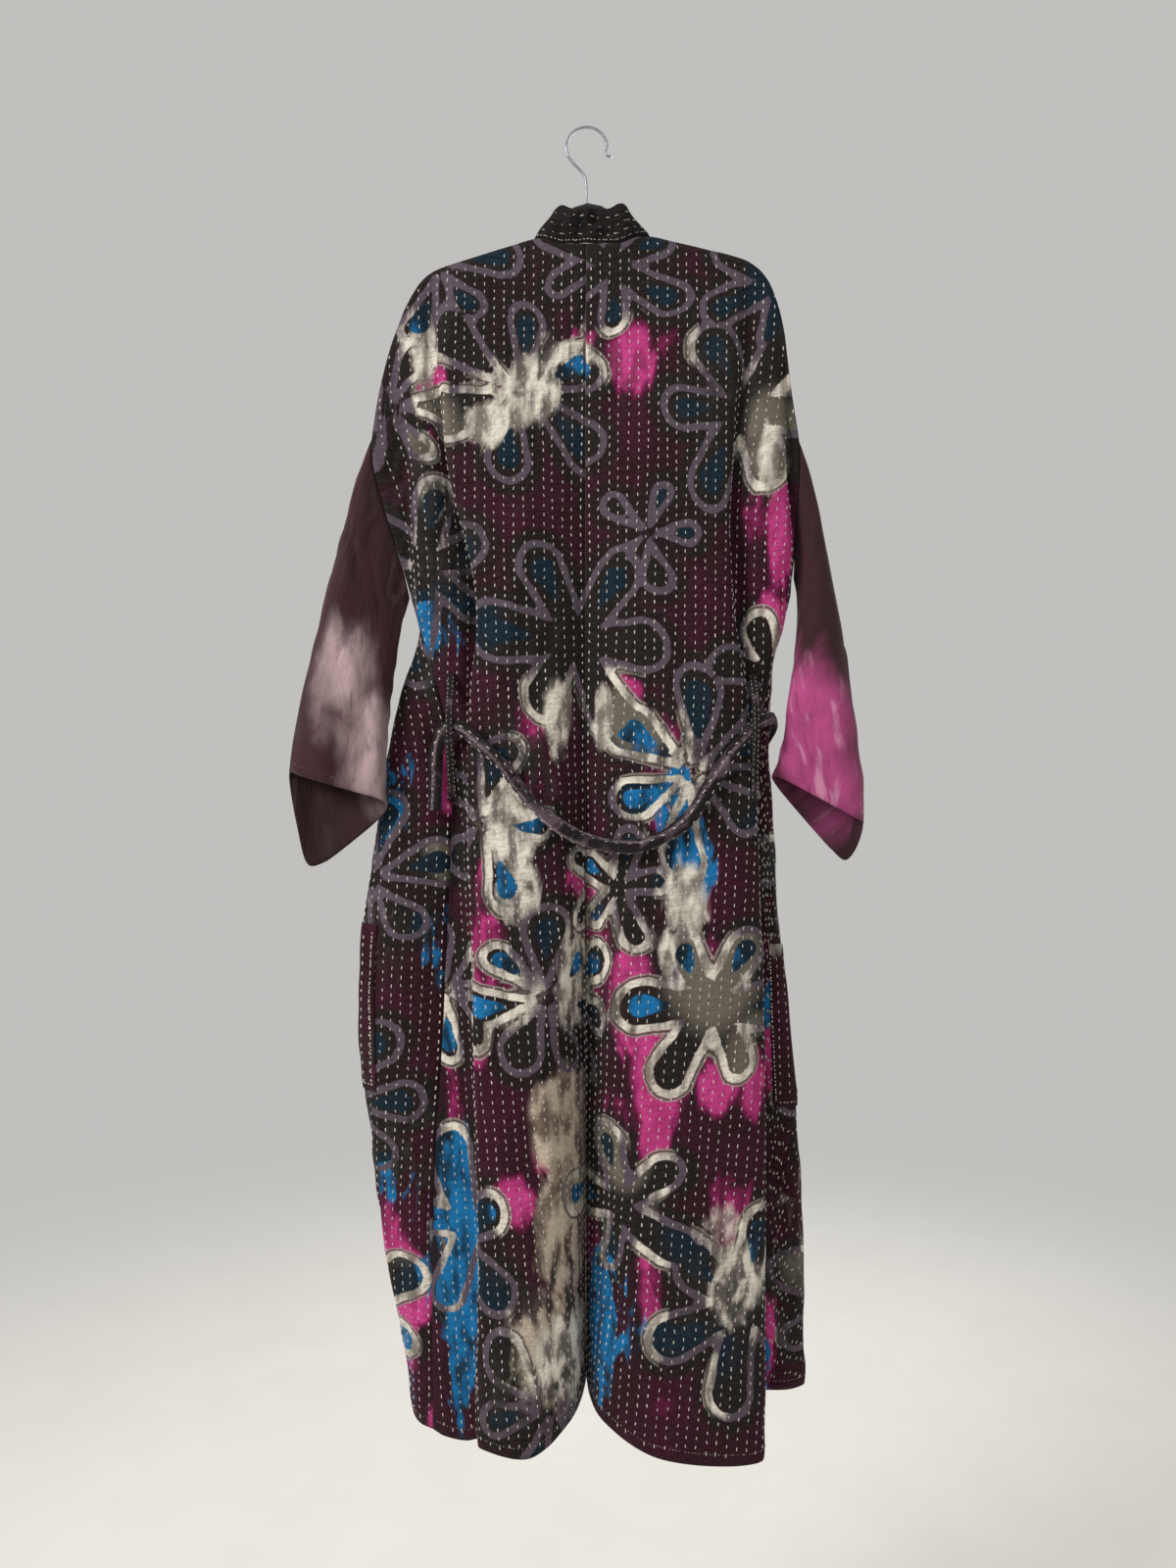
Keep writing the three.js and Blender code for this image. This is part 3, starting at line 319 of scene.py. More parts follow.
# Patches of the print on the back: x, z, half width, half height, strength.
BACK_PATCHES = {
    # Bleach took the colour out. Outlines pale from a third of full strength on, and the
    # ground turns pink only near the full one.
    "bleach": [
        (-92, -312, 52, 40, 0.8), (-10, -268, 52, 34, 0.72), (-122, -352, 40, 34, 0.76),
        (50, -276, 34, 48, 1.1), (-4, -250, 26, 16, 0.8), (104, -262, 44, 34, 0.62),
        (196, -350, 34, 60, 0.7), (212, -300, 24, 34, 1.0), (-196, -262, 26, 54, 0.7),
        (-182, -308, 22, 42, 1.1), (-176, -392, 30, 60, 0.6), (-190, -500, 34, 40, 0.45),
        (196, -452, 26, 60, 0.7), (222, -480, 18, 80, 1.1), (212, -586, 26, 48, 1.1),
        (34, -662, 34, 26, 1.0), (-52, -690, 44, 60, 0.78), (36, -700, 36, 44, 0.7),
        (80, -722, 46, 40, 0.8), (96, -786, 44, 60, 0.84), (60, -780, 26, 30, 0.95),
        (-84, -800, 44, 60, 0.76), (-100, -870, 34, 60, 0.8), (-100, -850, 16, 34, 1.05),
        (-116, -960, 26, 90, 0.84), (-122, -1040, 12, 60, 1.15), (-92, -1010, 44, 40, 0.7),
        (2, -880, 34, 34, 1.05), (6, -960, 40, 90, 0.76), (52, -1010, 30, 80, 1.1),
        (78, -1096, 34, 70, 1.15), (76, -1170, 20, 60, 1.1), (118, -880, 40, 70, 0.72),
        (108, -872, 10, 60, 1.05), (140, -980, 50, 60, 0.7), (150, -1080, 46, 70, 0.74),
        (144, -1110, 26, 40, 1.1), (186, -1110, 20, 50, 1.05), (-36, -1180, 34, 60, 0.84),
        (-84, -1236, 30, 34, 1.12), (-20, -1300, 40, 110, 0.84), (-50, -1400, 60, 60, 0.62),
        (44, -1140, 44, 50, 0.6), (160, -1250, 44, 60, 0.74), (170, -1330, 40, 70, 0.86),
        (146, -1440, 16, 34, 1.08), (70, -1330, 20, 90, 0.8), (96, -1460, 60, 24, 0.55),
        (-156, -1230, 18, 170, 0.76), (-164, -1060, 12, 60, 0.9),
    ],
    # A pale rust dye, on the left panel only.
    "rust": [
        (-30, -1150, 34, 60, 1.0), (-24, -1270, 34, 90, 1.0), (-40, -1400, 44, 70, 0.9),
    ],
    # Smoky grey streaks.
    "smoke": [
        (-70, -740, 60, 60, 0.9), (-30, -1345, 50, 60, 1.0), (168, -1350, 60, 60, 0.9),
        (-20, -300, 80, 50, 0.8), (-60, -1450, 70, 40, 1.0), (20, -980, 50, 80, 0.7),
        (-180, -480, 50, 120, 0.9), (160, -330, 40, 70, 0.8), (110, -740, 40, 60, 0.6),
        (-90, -880, 50, 60, 0.6),
    ],
    # Petal fills that took the blue.
    "blue": [
        (-168, -595, 40, 52, 1.0), (62, -740, 46, 40, 0.9), (118, -700, 34, 60, 0.5),
        (96, -800, 46, 50, 1.0), (120, -870, 40, 60, 1.0), (200, -840, 44, 60, 0.5),
        (-104, -1190, 50, 60, 0.5), (-110, -1350, 44, 50, 0.5), (-160, -1330, 30, 190, 1.0),
        (44, -1380, 40, 80, 1.0), (130, -1405, 50, 46, 0.5), (-176, -890, 30, 90, 0.5),
        (-146, -1340, 24, 190, 1.6), (16, -1390, 20, 100, 1.5), (-188, -590, 26, 34, 1.6),
        (128, -860, 18, 60, 1.5), (104, -770, 22, 30, 1.5), (206, -200, 40, 60, 0.5),
        (112, -1270, 40, 50, 0.5), (-130, -560, 40, 90, 0.5),
    ],
    # Everything but the drops went cream.
    "white": [
        (-66, -312, 34, 44, 1.0), (-112, -352, 34, 30, 0.9), (-20, -268, 40, 20, 0.7),
        (-192, -262, 18, 60, 0.8), (-178, -440, 16, 40, 0.6), (208, -396, 14, 50, 0.8),
        (-36, -690, 18, 50, 0.9), (18, -690, 12, 40, 0.9), (-86, -820, 30, 60, 0.9),
        (-80, -890, 26, 40, 0.9), (-16, -1000, 26, 60, 0.8), (112, -900, 26, 50, 0.9),
        (92, -960, 16, 30, 0.8), (166, -1330, 34, 50, 0.9), (-30, -1420, 34, 60, 0.8),
        (150, -1260, 30, 30, 0.6),
    ],
    # Petal fills that bleached to taupe.
    "taupe": [
        (60, -690, 40, 46, 1.0), (140, -960, 60, 90, 1.0), (214, -370, 34, 60, 1.0),
        (-180, -380, 40, 70, 0.9), (190, -500, 30, 60, 0.9), (40, -1180, 34, 50, 0.9),
        (-46, -730, 40, 60, 0.6), (190, -1080, 40, 60, 0.8),
    ],
}
# On the fronts they are soft noises: cells, seed, strength and limit.
FRONT_PATCHES = {
    "bleach": ((5, 16), 40, 0.75, 1.1),
    "blue": ((5, 14), 60, 1, 1),
    "taupe": ((4, 12), 70, 1, 1),
    "white": ((4, 12), 90, 0.45, 1),
    "smoke": ((4, 12), 80, 1, 1),
}
# How far off the noise of a back, a front and a pocket starts.
BACK_APART = 700
FRONT_APART = 2100
POCKET_APART = 3000
# The pockets' print is the fronts', shifted, with its flowers moved and turned so much.
POCKET_SHIFT = 40
POCKET_FLOWERS = (60, 70, 25)
# At the centre seam the right panel's flowers are this far out of line with the left's.
RIGHT_SHIFT = 6
# A petal: where it starts and how round its start is, as shares of its size.
OPEN_PETAL = (0.0, 0.165)
CLOSED_PETAL = (0.14, 0.05)
# Its drop: start, stop, and how round both are, as shares of its size too.
DROP = (0.42, 0.72, 0.02, 0.12)
# The round centre of an open flower, as a share of its reach.
HEART = 0.25
# The fields' values away from every petal and drop, in millimetres.
FAR_FROM_PETAL = -80.0
NO_DROP = -30.0

# Creases: x, z to x, z, then width and height, all in millimetres.
CREASES = {
    "back_left": [
        (-70, -460, -95, -640, 12, 2.2), (-40, -560, -66, -720, 9, -1.6),
        (-108, -600, -96, -760, 9, 2.0), (-30, -760, -62, -850, 10, 1.8),
        (-120, -700, -70, -800, 9, -1.8), (-20, -880, -40, -1060, 11, 1.8),
        (-84, -880, -104, -1100, 12, -1.8), (-58, -1060, -36, -1260, 10, 1.8),
        (-100, -1180, -60, -1330, 10, 1.8), (-28, -1280, -52, -1440, 10, -2.0),
        (-80, -1400, -110, -1490, 9, 1.6), (-70, -1380, -30, -1410, 8, -1.4),
        (-150, -190, -176, -300, 10, 1.5), (-196, -380, -176, -520, 10, 1.5),
        (-90, -180, -130, -230, 12, -1.2), (-160, -430, -190, -560, 9, -1.4),
        (-40, -1330, -14, -1400, 8, 1.5),
    ],
    "back_right": [
        (60, -440, 96, -640, 12, 1.6), (34, -560, 62, -740, 10, -1.4), (130, -560, 150, -720, 11, 1.8),
        (30, -740, 80, -830, 10, 1.5), (176, -740, 120, -800, 9, -1.8), (44, -900, 30, -1080, 10, 1.6),
        (110, -900, 120, -1080, 13, -1.4), (160, -960, 180, -1180, 10, 1.5),
        (60, -1180, 44, -1360, 10, 1.8), (120, -1240, 150, -1420, 12, -1.6),
        (20, -1200, 28, -1400, 8, -1.8), (90, -1420, 60, -1500, 9, 1.4),
        (130, -180, 172, -300, 12, 1.4), (206, -360, 196, -540, 9, 1.5),
        (182, -480, 172, -600, 8, -1.4),
    ],
    "front_left": [
        (-212, -640, -240, -860, 10, 1.8), (-250, -800, -262, -1010, 9, -1.6),
        (-200, -700, -160, -900, 12, 1.5), (-236, -1040, -250, -1260, 10, 1.8),
        (-220, -1300, -214, -1480, 9, -1.8), (-120, -500, -130, -800, 14, 1.5),
        (-150, -950, -170, -1250, 12, 1.5), (-120, -1150, -100, -1400, 12, -1.6),
        (-200, -1200, -180, -1420, 9, 1.6),
    ],
    "front_right": [
        (210, -640, 226, -860, 9, 1.5), (232, -900, 246, -1120, 9, -1.4),
        (240, -1180, 250, -1400, 9, 1.5), (120, -500, 130, -800, 14, 1.5),
        (160, -950, 170, -1250, 12, 1.5), (110, -1150, 100, -1400, 12, -1.6),
    ],
}
# Where the sleeves' dye lightens: x, z, half width, half height, strength.
SLEEVE_CLOUDS = {
    "left": [(-282, -640, 36, 60, 0.75), (-262, -700, 34, 50, 0.7), (-246, -760, 34, 50, 0.7),
             (-300, -690, 24, 40, 0.45)],
    "right": [(248, -700, 70, 66, 0.95), (282, -770, 46, 60, 0.9), (226, -640, 26, 60, 0.5),
              (262, -740, 70, 80, 0.6)],
}
SLEEVE_CREASES = {
    "left": [
        (-262, -440, -300, -640, 10, 2.4), (-250, -560, -262, -740, 9, -2.2),
        (-296, -600, -318, -740, 9, 2.0), (-240, -640, -250, -780, 8, 2.0),
        (-280, -700, -300, -800, 8, -1.8),
    ],
    "right": [
        (258, -440, 284, -620, 10, 2.2), (250, -560, 262, -720, 9, -2.2),
        (286, -620, 296, -760, 9, 2.0), (238, -640, 236, -760, 8, 2.0), (262, -700, 282, -800, 8, -1.8),
    ],
}


def add_camera():
    data = bpy.data.cameras.new("camera")
    data.sensor_width = SENSOR
    data.lens = FOCAL_PIXELS / PHOTO_SIZE[1] * SENSOR
    camera = bpy.data.objects.new("camera", data)
    camera.location = CAMERA_PLACE
    camera.rotation_euler = (math.radians(90), 0, 0)
    scene.collection.objects.link(camera)
    scene.camera = camera


def spline(points, places):
    """The centripetal curve through points, read at places: 0 is the first point, 1 the next."""
    p = np.asarray(points, float)
    extended = np.concatenate([[2 * p[0] - p[1]], p, [2 * p[-1] - p[-2]]])
    places = np.asarray(places, float)
    k = np.clip(places.astype(int), 0, len(p) - 2)
    w = (places - k).reshape((-1,) + (1,) * (p.ndim - 1))
    p0, p1, p2, p3 = (extended[k + i] for i in range(4))

    def step(a, b):
        return np.maximum(np.linalg.norm(b - a, axis=-1, keepdims=True), 1e-6) ** 0.5

    d0, d1, d2 = step(p0, p1), step(p1, p2), step(p2, p3)
    t1 = ((p1 - p0) / d0 - (p2 - p0) / (d0 + d1) + (p2 - p1) / d1) * d1
    t2 = ((p2 - p1) / d1 - (p3 - p1) / (d1 + d2) + (p3 - p2) / d2) * d1
    return (p1 + t1 * w + (3 * (p2 - p1) - 2 * t1 - t2) * w ** 2
            + (2 * (p1 - p2) + t1 + t2) * w ** 3)


def run_along(points):
    """Distance travelled to each point."""
    steps = np.linalg.norm(np.diff(points, axis=0), axis=1)
    return np.concatenate([[0.0], np.cumsum(steps)])


def at_distance(points, run, distance):
    return np.stack([np.interp(distance, run, points[:, c]) for c in range(3)], axis=1)


def evenly(points, start, stop, steps):
    """Points at even distances along part of a curve."""
    samples = spline(points, np.linspace(start, stop, 24 * steps + 1))
    run = run_along(samples)
    return at_distance(samples, run, np.linspace(0, run[-1], steps + 1))


def unit(v):
    return v / np.maximum(np.linalg.norm(v, axis=-1, keepdims=True), 1e-9)


def section_row(row, folds, seam_point):
    points = [row[name] if len(row[name]) > 2 else (*row[name], row["z"]) for name, _, _ in folds]
    columns = [column for _, column, _ in folds]
    if seam_point is not None:
        points.insert(0, seam_point)
        columns.insert(0, 0)
    places = [0.0]
    for k in range(1, len(columns)):
        count = columns[k] - columns[k - 1]
        places += [k - 1 + step / count for step in range(1, count + 1)]
    return spline(points, places)


def shoulder_row(shoulder):
    line = evenly(shoulder, 0, len(shoulder) - 1, SHOULDER_STEPS)
    starts = [(NECK_PART, 0.0)] + [(column, share) for _, column, share in BACK_FOLDS if share]
    result = [line[0]]
    for (column, share), (next_column, next_share) in zip(starts, starts[1:]):
        count = next_column - column
        for step in range(1, count + 1):
            place = share + (next_share - share) * step / count
            result.append(line[round(SHOULDER_STEPS * place)])
    return np.array(result)


def back_top_row(shoulder):
    """Half of the neck seam, then the shoulder line."""
    centre = np.array(CENTRE_SEAM[0], float)
    corner = np.array(shoulder[0], float)
    middle = centre + (corner - centre) * NECK_BENDS[0]
    middle[1:] = centre[1], centre[2] + 1
    bend = centre + (corner - centre) * NECK_BENDS[1]
    bend[1] = centre[1] * 0.7
    neck = evenly([centre, middle, bend, corner], 0, 3, NECK_PART)
    return np.concatenate([neck, shoulder_row(shoulder)[1:]])


def turn_over(upper, outward, share):
    """The cloth leaves the shoulder line outward, round the hanger, then hangs."""
    fade = np.array([0.0] + [1 - j / (ROWS_TO_ARMPIT - 1) for j in range(1, ROWS_TO_ARMPIT)])
    turned = upper + fade[:, None] * outward * TURN_OUT * share
    bend = upper[0] + outward * TURN_OUT * share + unit(upper[1] - upper[0]) * TURN_DOWN
    return np.insert(turned, 1, bend, axis=0)


def panel_grid(top_row, rows, folds, across, seam, outward):
    """A panel's points, column by column, each from its top down to the hem."""
    side_at = across if seam else 0
    levels = [top_row]
    for index, row in enumerate(rows):
        levels.append(section_row(row, folds, seam[index + 1] if seam else None))
    levels = np.array(levels)
    columns = []
    for i in range(across + 1):
        upper = evenly(levels[:, i], 0, ARMPIT_LEVEL, ROWS_TO_ARMPIT - 1)
        if i == side_at:
            lower = evenly(levels[ARMPIT_LEVEL:, i], 0, HEM_LEVEL - ARMPIT_LEVEL, ROWS_TO_HEM)
        else:
            lower = evenly(levels[:, i], ARMPIT_LEVEL, HEM_LEVEL, ROWS_TO_HEM)
        share = 0 if seam and i < NECK_PART else 1
        columns.append(np.concatenate([turn_over(upper, outward, share), lower[1:]]))
    return np.array(columns)


def finer(grid, across, down):
    """The grid divided again: each cell in across by down, and the top row's turn in two."""
    m, n = grid.shape[:2]
    grid = spline(grid, np.linspace(0, m - 1, (m - 1) * across + 1))
    places = np.concatenate([[0, 0.5], np.linspace(1, n - 1, (n - 2) * down + 1)])
    if n != ROWS + 1:
        places = np.linspace(0, n - 1, (n - 1) * down + 1)
    return spline(grid.swapaxes(0, 1), places).swapaxes(0, 1)


def fine_row(j):
    """The fine grid's row at a coarse row."""
    return 0 if j == 0 else 2 + (j - 1) * FINE_DOWN


def grid_normals(grid, mirrored=False):
    across = np.gradient(grid, axis=0)
    down = np.gradient(grid, axis=1)
    normals = unit(np.cross(across, down))
    return -normals if mirrored else normals


def mesh_object(name, points, faces, fields, material):
    """A mesh from millimetre points, with one number a point for each named field."""
    mesh = bpy.data.meshes.new(name)
    mesh.from_pydata((points * MILLIMETRE).tolist(), [], faces)
    for field, values in fields.items():
        layer = mesh.attributes.new(field, "FLOAT", "POINT")
        layer.data.foreach_set("value", np.ascontiguousarray(values, dtype=np.float32))
    mesh.shade_smooth()
    mesh.update()
    obj = bpy.data.objects.new(name, mesh)
    scene.collection.objects.link(obj)
    mesh.materials.append(material)
    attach(obj, "root")
    return obj


def closed_cloth(name, grid, normals, walls, flip, fields, material, tube=False):
    """An outer and an inner wall, each so far off the grid, joined at their edges.

    A tube's last column is joined to its first.
    """
    points = np.concatenate([(grid + normals * wall).reshape(-1, 3) for wall in walls])
    count = len(points) // 2
    index = np.arange(count).reshape(grid.shape[:2])
    if tube:
        index = np.concatenate([index, index[:1]])
    quads = np.stack([index[:-1, :-1], index[1:, :-1], index[1:, 1:], index[:-1, 1:]], axis=-1)
    quads = quads.reshape(-1, 4)
    faces = [quads, quads[:, ::-1] + count]
    edges = [(index[:, 0], False), (index[:, -1], True)]
    if not tube:
        edges += [(index[0], True), (index[-1], False)]
    for line, turn in edges:
        a, b = line[:-1], line[1:]
        strip = np.stack([a, a + count, b + count, b], axis=1)
        faces.append(strip[:, ::-1] if turn else strip)
    faces = np.concatenate(faces)
    faces = (faces[:, ::-1] if flip else faces).tolist()
    both = {key: np.tile(value.ravel(), 2) for key, value in fields.items()}
    both["inside"] = np.repeat([0.0, 1.0], count)
    return mesh_object(name, points, faces, both, material)


def shell(name, grid, normals, above, below, mirrored, fields, material):
    """A thin closed cloth round a grid. Its edges are drawn in, so that a seam shows."""
    m, n = grid.shape[:2]
    thin = np.ones((m, n))
    for row, share in enumerate(EDGE_SHARES):
        for edge in (thin[:, row], thin[:, n - 1 - row], thin[row], thin[m - 1 - row]):
            edge[:] = np.minimum(edge, share)
    middle = (above + below) / 2
    half = (above - below) / 2 * thin[..., None]
    walls = (middle + half, middle - half)
    return closed_cloth(name, grid, normals, walls, mirrored, fields, material)


def soft_noise(shape, cells, seed):
    """Smooth random heights over a grid, nearly all between -2 and 2."""
    local = np.random.default_rng(seed)
    coarse = local.standard_normal((cells[0] + 1, cells[1] + 1))
    fine = spline(coarse[..., None], np.linspace(0, cells[0], shape[0]))
    fine = spline(fine.swapaxes(0, 1), np.linspace(0, cells[1], shape[1])).swapaxes(0, 1)
    return fine[..., 0]


def creased(grid, normals, creases):
    """Soft troughs and ridges along short lines, each x, z to x, z, with a width and height."""
    lift = np.zeros(grid.shape[:2])
    place = grid[..., [0, 2]]
    for x1, z1, x2, z2, width, height in creases:
        start = np.array([x1, z1], float)
        along = np.array([x2, z2], float) - start
        length = np.linalg.norm(along)
        share = np.clip(((place - start) @ along) / length ** 2, 0, 1)
        away = np.linalg.norm(place - start - share[..., None] * along, axis=-1)
        taper = np.sin(np.pi * (0.08 + 0.84 * share)) ** 0.7
        lift += height * taper * np.exp(-(away / width) ** 2)
    return grid + normals * lift[..., None]


def flat_across(grid):
    """How far each point lies across the cloth from the grid's first column, laid flat."""
    steps = np.linalg.norm(np.diff(grid[..., :2], axis=0), axis=-1)
    return np.concatenate([np.zeros((1, grid.shape[1])), np.cumsum(steps, axis=0)])


def nearest_flat(grid, across, x, z):
    """Where the point nearest to x, z lies on the cloth laid flat."""
    away = (grid[..., 0] - x) ** 2 + (grid[..., 2] - z) ** 2
    i, j = np.unravel_index(np.argmin(away), away.shape)
    return across[i, j], grid[i, j, 2]


def teardrop(along, aside, start, stop, small, large):
    """Distance inside a long drop: small round at its start, large at its stop."""
    length = stop - start
    slope = (small - large) / length
    rise = math.sqrt(1 - slope * slope)
    x, y = np.abs(aside), along - start
    k = rise * y - slope * x
    middle = rise * x + slope * y - small
    near = np.hypot(x, y) - small
    far = np.hypot(x, y - length) - large
    return -np.where(k < 0, near, np.where(k > rise * length, far, middle))


def flower_field(across, height, flowers):
    """Distance inside the nearest petal's edge, and inside its drop, in millimetres."""
    petal = np.full(across.shape, FAR_FROM_PETAL)
    drop = np.full(across.shape, NO_DROP)
    for u, v, reach, count, turn, is_open in flowers:
        start, small = OPEN_PETAL if is_open else CLOSED_PETAL
        if is_open:
            heart = reach * HEART - np.hypot(across - u, height - v)
            drop = np.where(heart > petal, NO_DROP, drop)
            petal = np.maximum(petal, heart)
        for number in range(count):
            uneven = math.sin(number * 2.4 + u * 0.3)
            size = reach * (1 + 0.13 * uneven)
            angle = math.radians(turn) + 2 * math.pi * (number + 0.11 * uneven) / count
            way = (math.sin(angle), math.cos(angle))
            along = (across - u) * way[0] + (height - v) * way[1]
            aside = (across - u) * way[1] - (height - v) * way[0]
            aside = aside + 0.0016 * uneven * along * np.abs(along)
            wide = size * (0.255 + 0.03 * math.cos(number * 1.9 + v))
            distance = teardrop(along, aside, size * start, size - wide, size * small, wide)
            has_drop = math.sin(number * 5.1 + u + v) > -0.1
            inner = teardrop(along, aside, *(size * share for share in DROP))
            drop = np.where(distance > petal, inner if has_drop else NO_DROP, drop)
            petal = np.maximum(petal, distance)
    return petal, drop


def spots(grid, table):
    """The strongest of a table's soft ovals at each point."""
    field = np.zeros(grid.shape[:2])
    for x, z, half_width, half_height, strength in table:
        oval = ((grid[..., 0] - x) / half_width) ** 2 + ((grid[..., 2] - z) / half_height) ** 2
        field = np.maximum(field, strength * np.exp(-0.7 * oval ** 1.4))
    return field


def colour(code):
    parts = [int(code[k:k + 2], 16) / 255 for k in (1, 3, 5)]
    return tuple(((c + 0.055) / 1.055) ** 2.4 if c > 0.04045 else c / 12.92 for c in parts) + (1,)


class Shader:
    """One material's nodes, under short names."""

    def __init__(self, name):
        self.material = bpy.data.materials.new(name)
        self.material.use_nodes = True
        self.tree = self.material.node_tree
        self.tree.nodes.clear()

    def node(self, kind, **settings):
        node = self.tree.nodes.new(kind)
        for key, value in settings.items():
            setattr(node, key, value)
        return node

    def put(self, socket, value):
        if isinstance(value, bpy.types.NodeSocket):
            self.tree.links.new(value, socket)
        else:
            socket.default_value = value

    def field(self, name):
        return self.node("ShaderNodeAttribute", attribute_name=name).outputs["Fac"]

    def math(self, operation, a, b):
        node = self.node("ShaderNodeMath", operation=operation)
        for socket, value in zip(node.inputs, (a, b)):
            self.put(socket, value)
        return node.outputs[0]

    def times(self, a, b):
        return self.math("MULTIPLY", a, b)

    def plus(self, a, b):
        return self.math("ADD", a, b)

    def swing(self, noise, size):
        """A noise made to go as far below nought as above it."""
        return self.times(self.math("SUBTRACT", noise, 0.5), size)

    def step(self, value, low, high, start=0.0, end=1.0):
        node = self.node("ShaderNodeMapRange", interpolation_type="SMOOTHSTEP")
        for key, item in zip(("Value", "From Min", "From Max", "To Min", "To Max"),
                             (value, low, high, start, end)):
            self.put(node.inputs[key], item)
        return node.outputs[0]

    def mix(self, share, a, b):
        node = self.node("ShaderNodeMix", data_type="RGBA")
        for socket, value in zip((node.inputs[0], node.inputs[6], node.inputs[7]), (share, a, b)):
            self.put(socket, colour(value) if isinstance(value, str) else value)
        return node.outputs[2]

    def place(self, x, y):
        """The place on the cloth laid flat, in millimetres times x and y."""
        node = self.node("ShaderNodeCombineXYZ")
        self.put(node.inputs[0], self.times(self.field("u"), x))
        self.put(node.inputs[1], self.times(self.field("v"), y))
        return node.outputs[0]

    def object_place(self):
        return self.node("ShaderNodeTexCoord").outputs["Object"]

    def noise(self, place, scale, detail, distortion=0.0):
        node = self.node("ShaderNodeTexNoise")
        for key, value in (("Vector", place), ("Scale", scale), ("Detail", detail),
                           ("Distortion", distortion)):
            self.put(node.inputs[key], value)
        return node.outputs["Fac"]

    def cloth_noise(self, x, y, detail, distortion=0.0):
        """Noise over the cloth laid flat, so fine across it and down it."""
        return self.noise(self.place(x, y), 1.0, detail, distortion)

    def bump(self, height, strength, distance, under=None):
        node = self.node("ShaderNodeBump")
        self.put(node.inputs["Strength"], strength)
        self.put(node.inputs["Distance"], distance)
        self.put(node.inputs["Height"], height)
        if under is not None:
            self.put(node.inputs["Normal"], under)
        return node.outputs[0]

    def finish(self, base, rough, normal=None, sheen=0.0, metallic=0.0):
        shader = self.node("ShaderNodeBsdfPrincipled")
        self.put(shader.inputs["Base Color"], colour(base) if isinstance(base, str) else base)
        self.put(shader.inputs["Roughness"], rough)
        self.put(shader.inputs["Metallic"], metallic)
        specular = CLOTH_SPECULAR if metallic == 0 else METAL_SPECULAR
        self.put(shader.inputs["Specular IOR Level"], specular)
        self.put(shader.inputs["Sheen Weight"], sheen)
        self.put(shader.inputs["Sheen Roughness"], SHEEN_ROUGHNESS)
        if normal is not None:
            self.put(shader.inputs["Normal"], normal)
        output = self.node("ShaderNodeOutputMaterial")
        self.tree.links.new(shader.outputs[0], output.inputs[0])
        return self.material


def weave_bump(s, pucker=0.9):
    """Plain weave, soft creases and the ripples that running stitches pull up."""
    ripple = s.cloth_noise(0.09, 0.22, 2.0)
    crumple = s.cloth_noise(0.02, 0.012, 4.0, 0.6)
    threads = s.cloth_noise(1.6, 1.6, 1.0)
    normal = s.bump(crumple, 0.6, 0.014)
    normal = s.bump(ripple, pucker, 0.004, normal)
    return s.bump(threads, 0.3, 0.0005, normal)


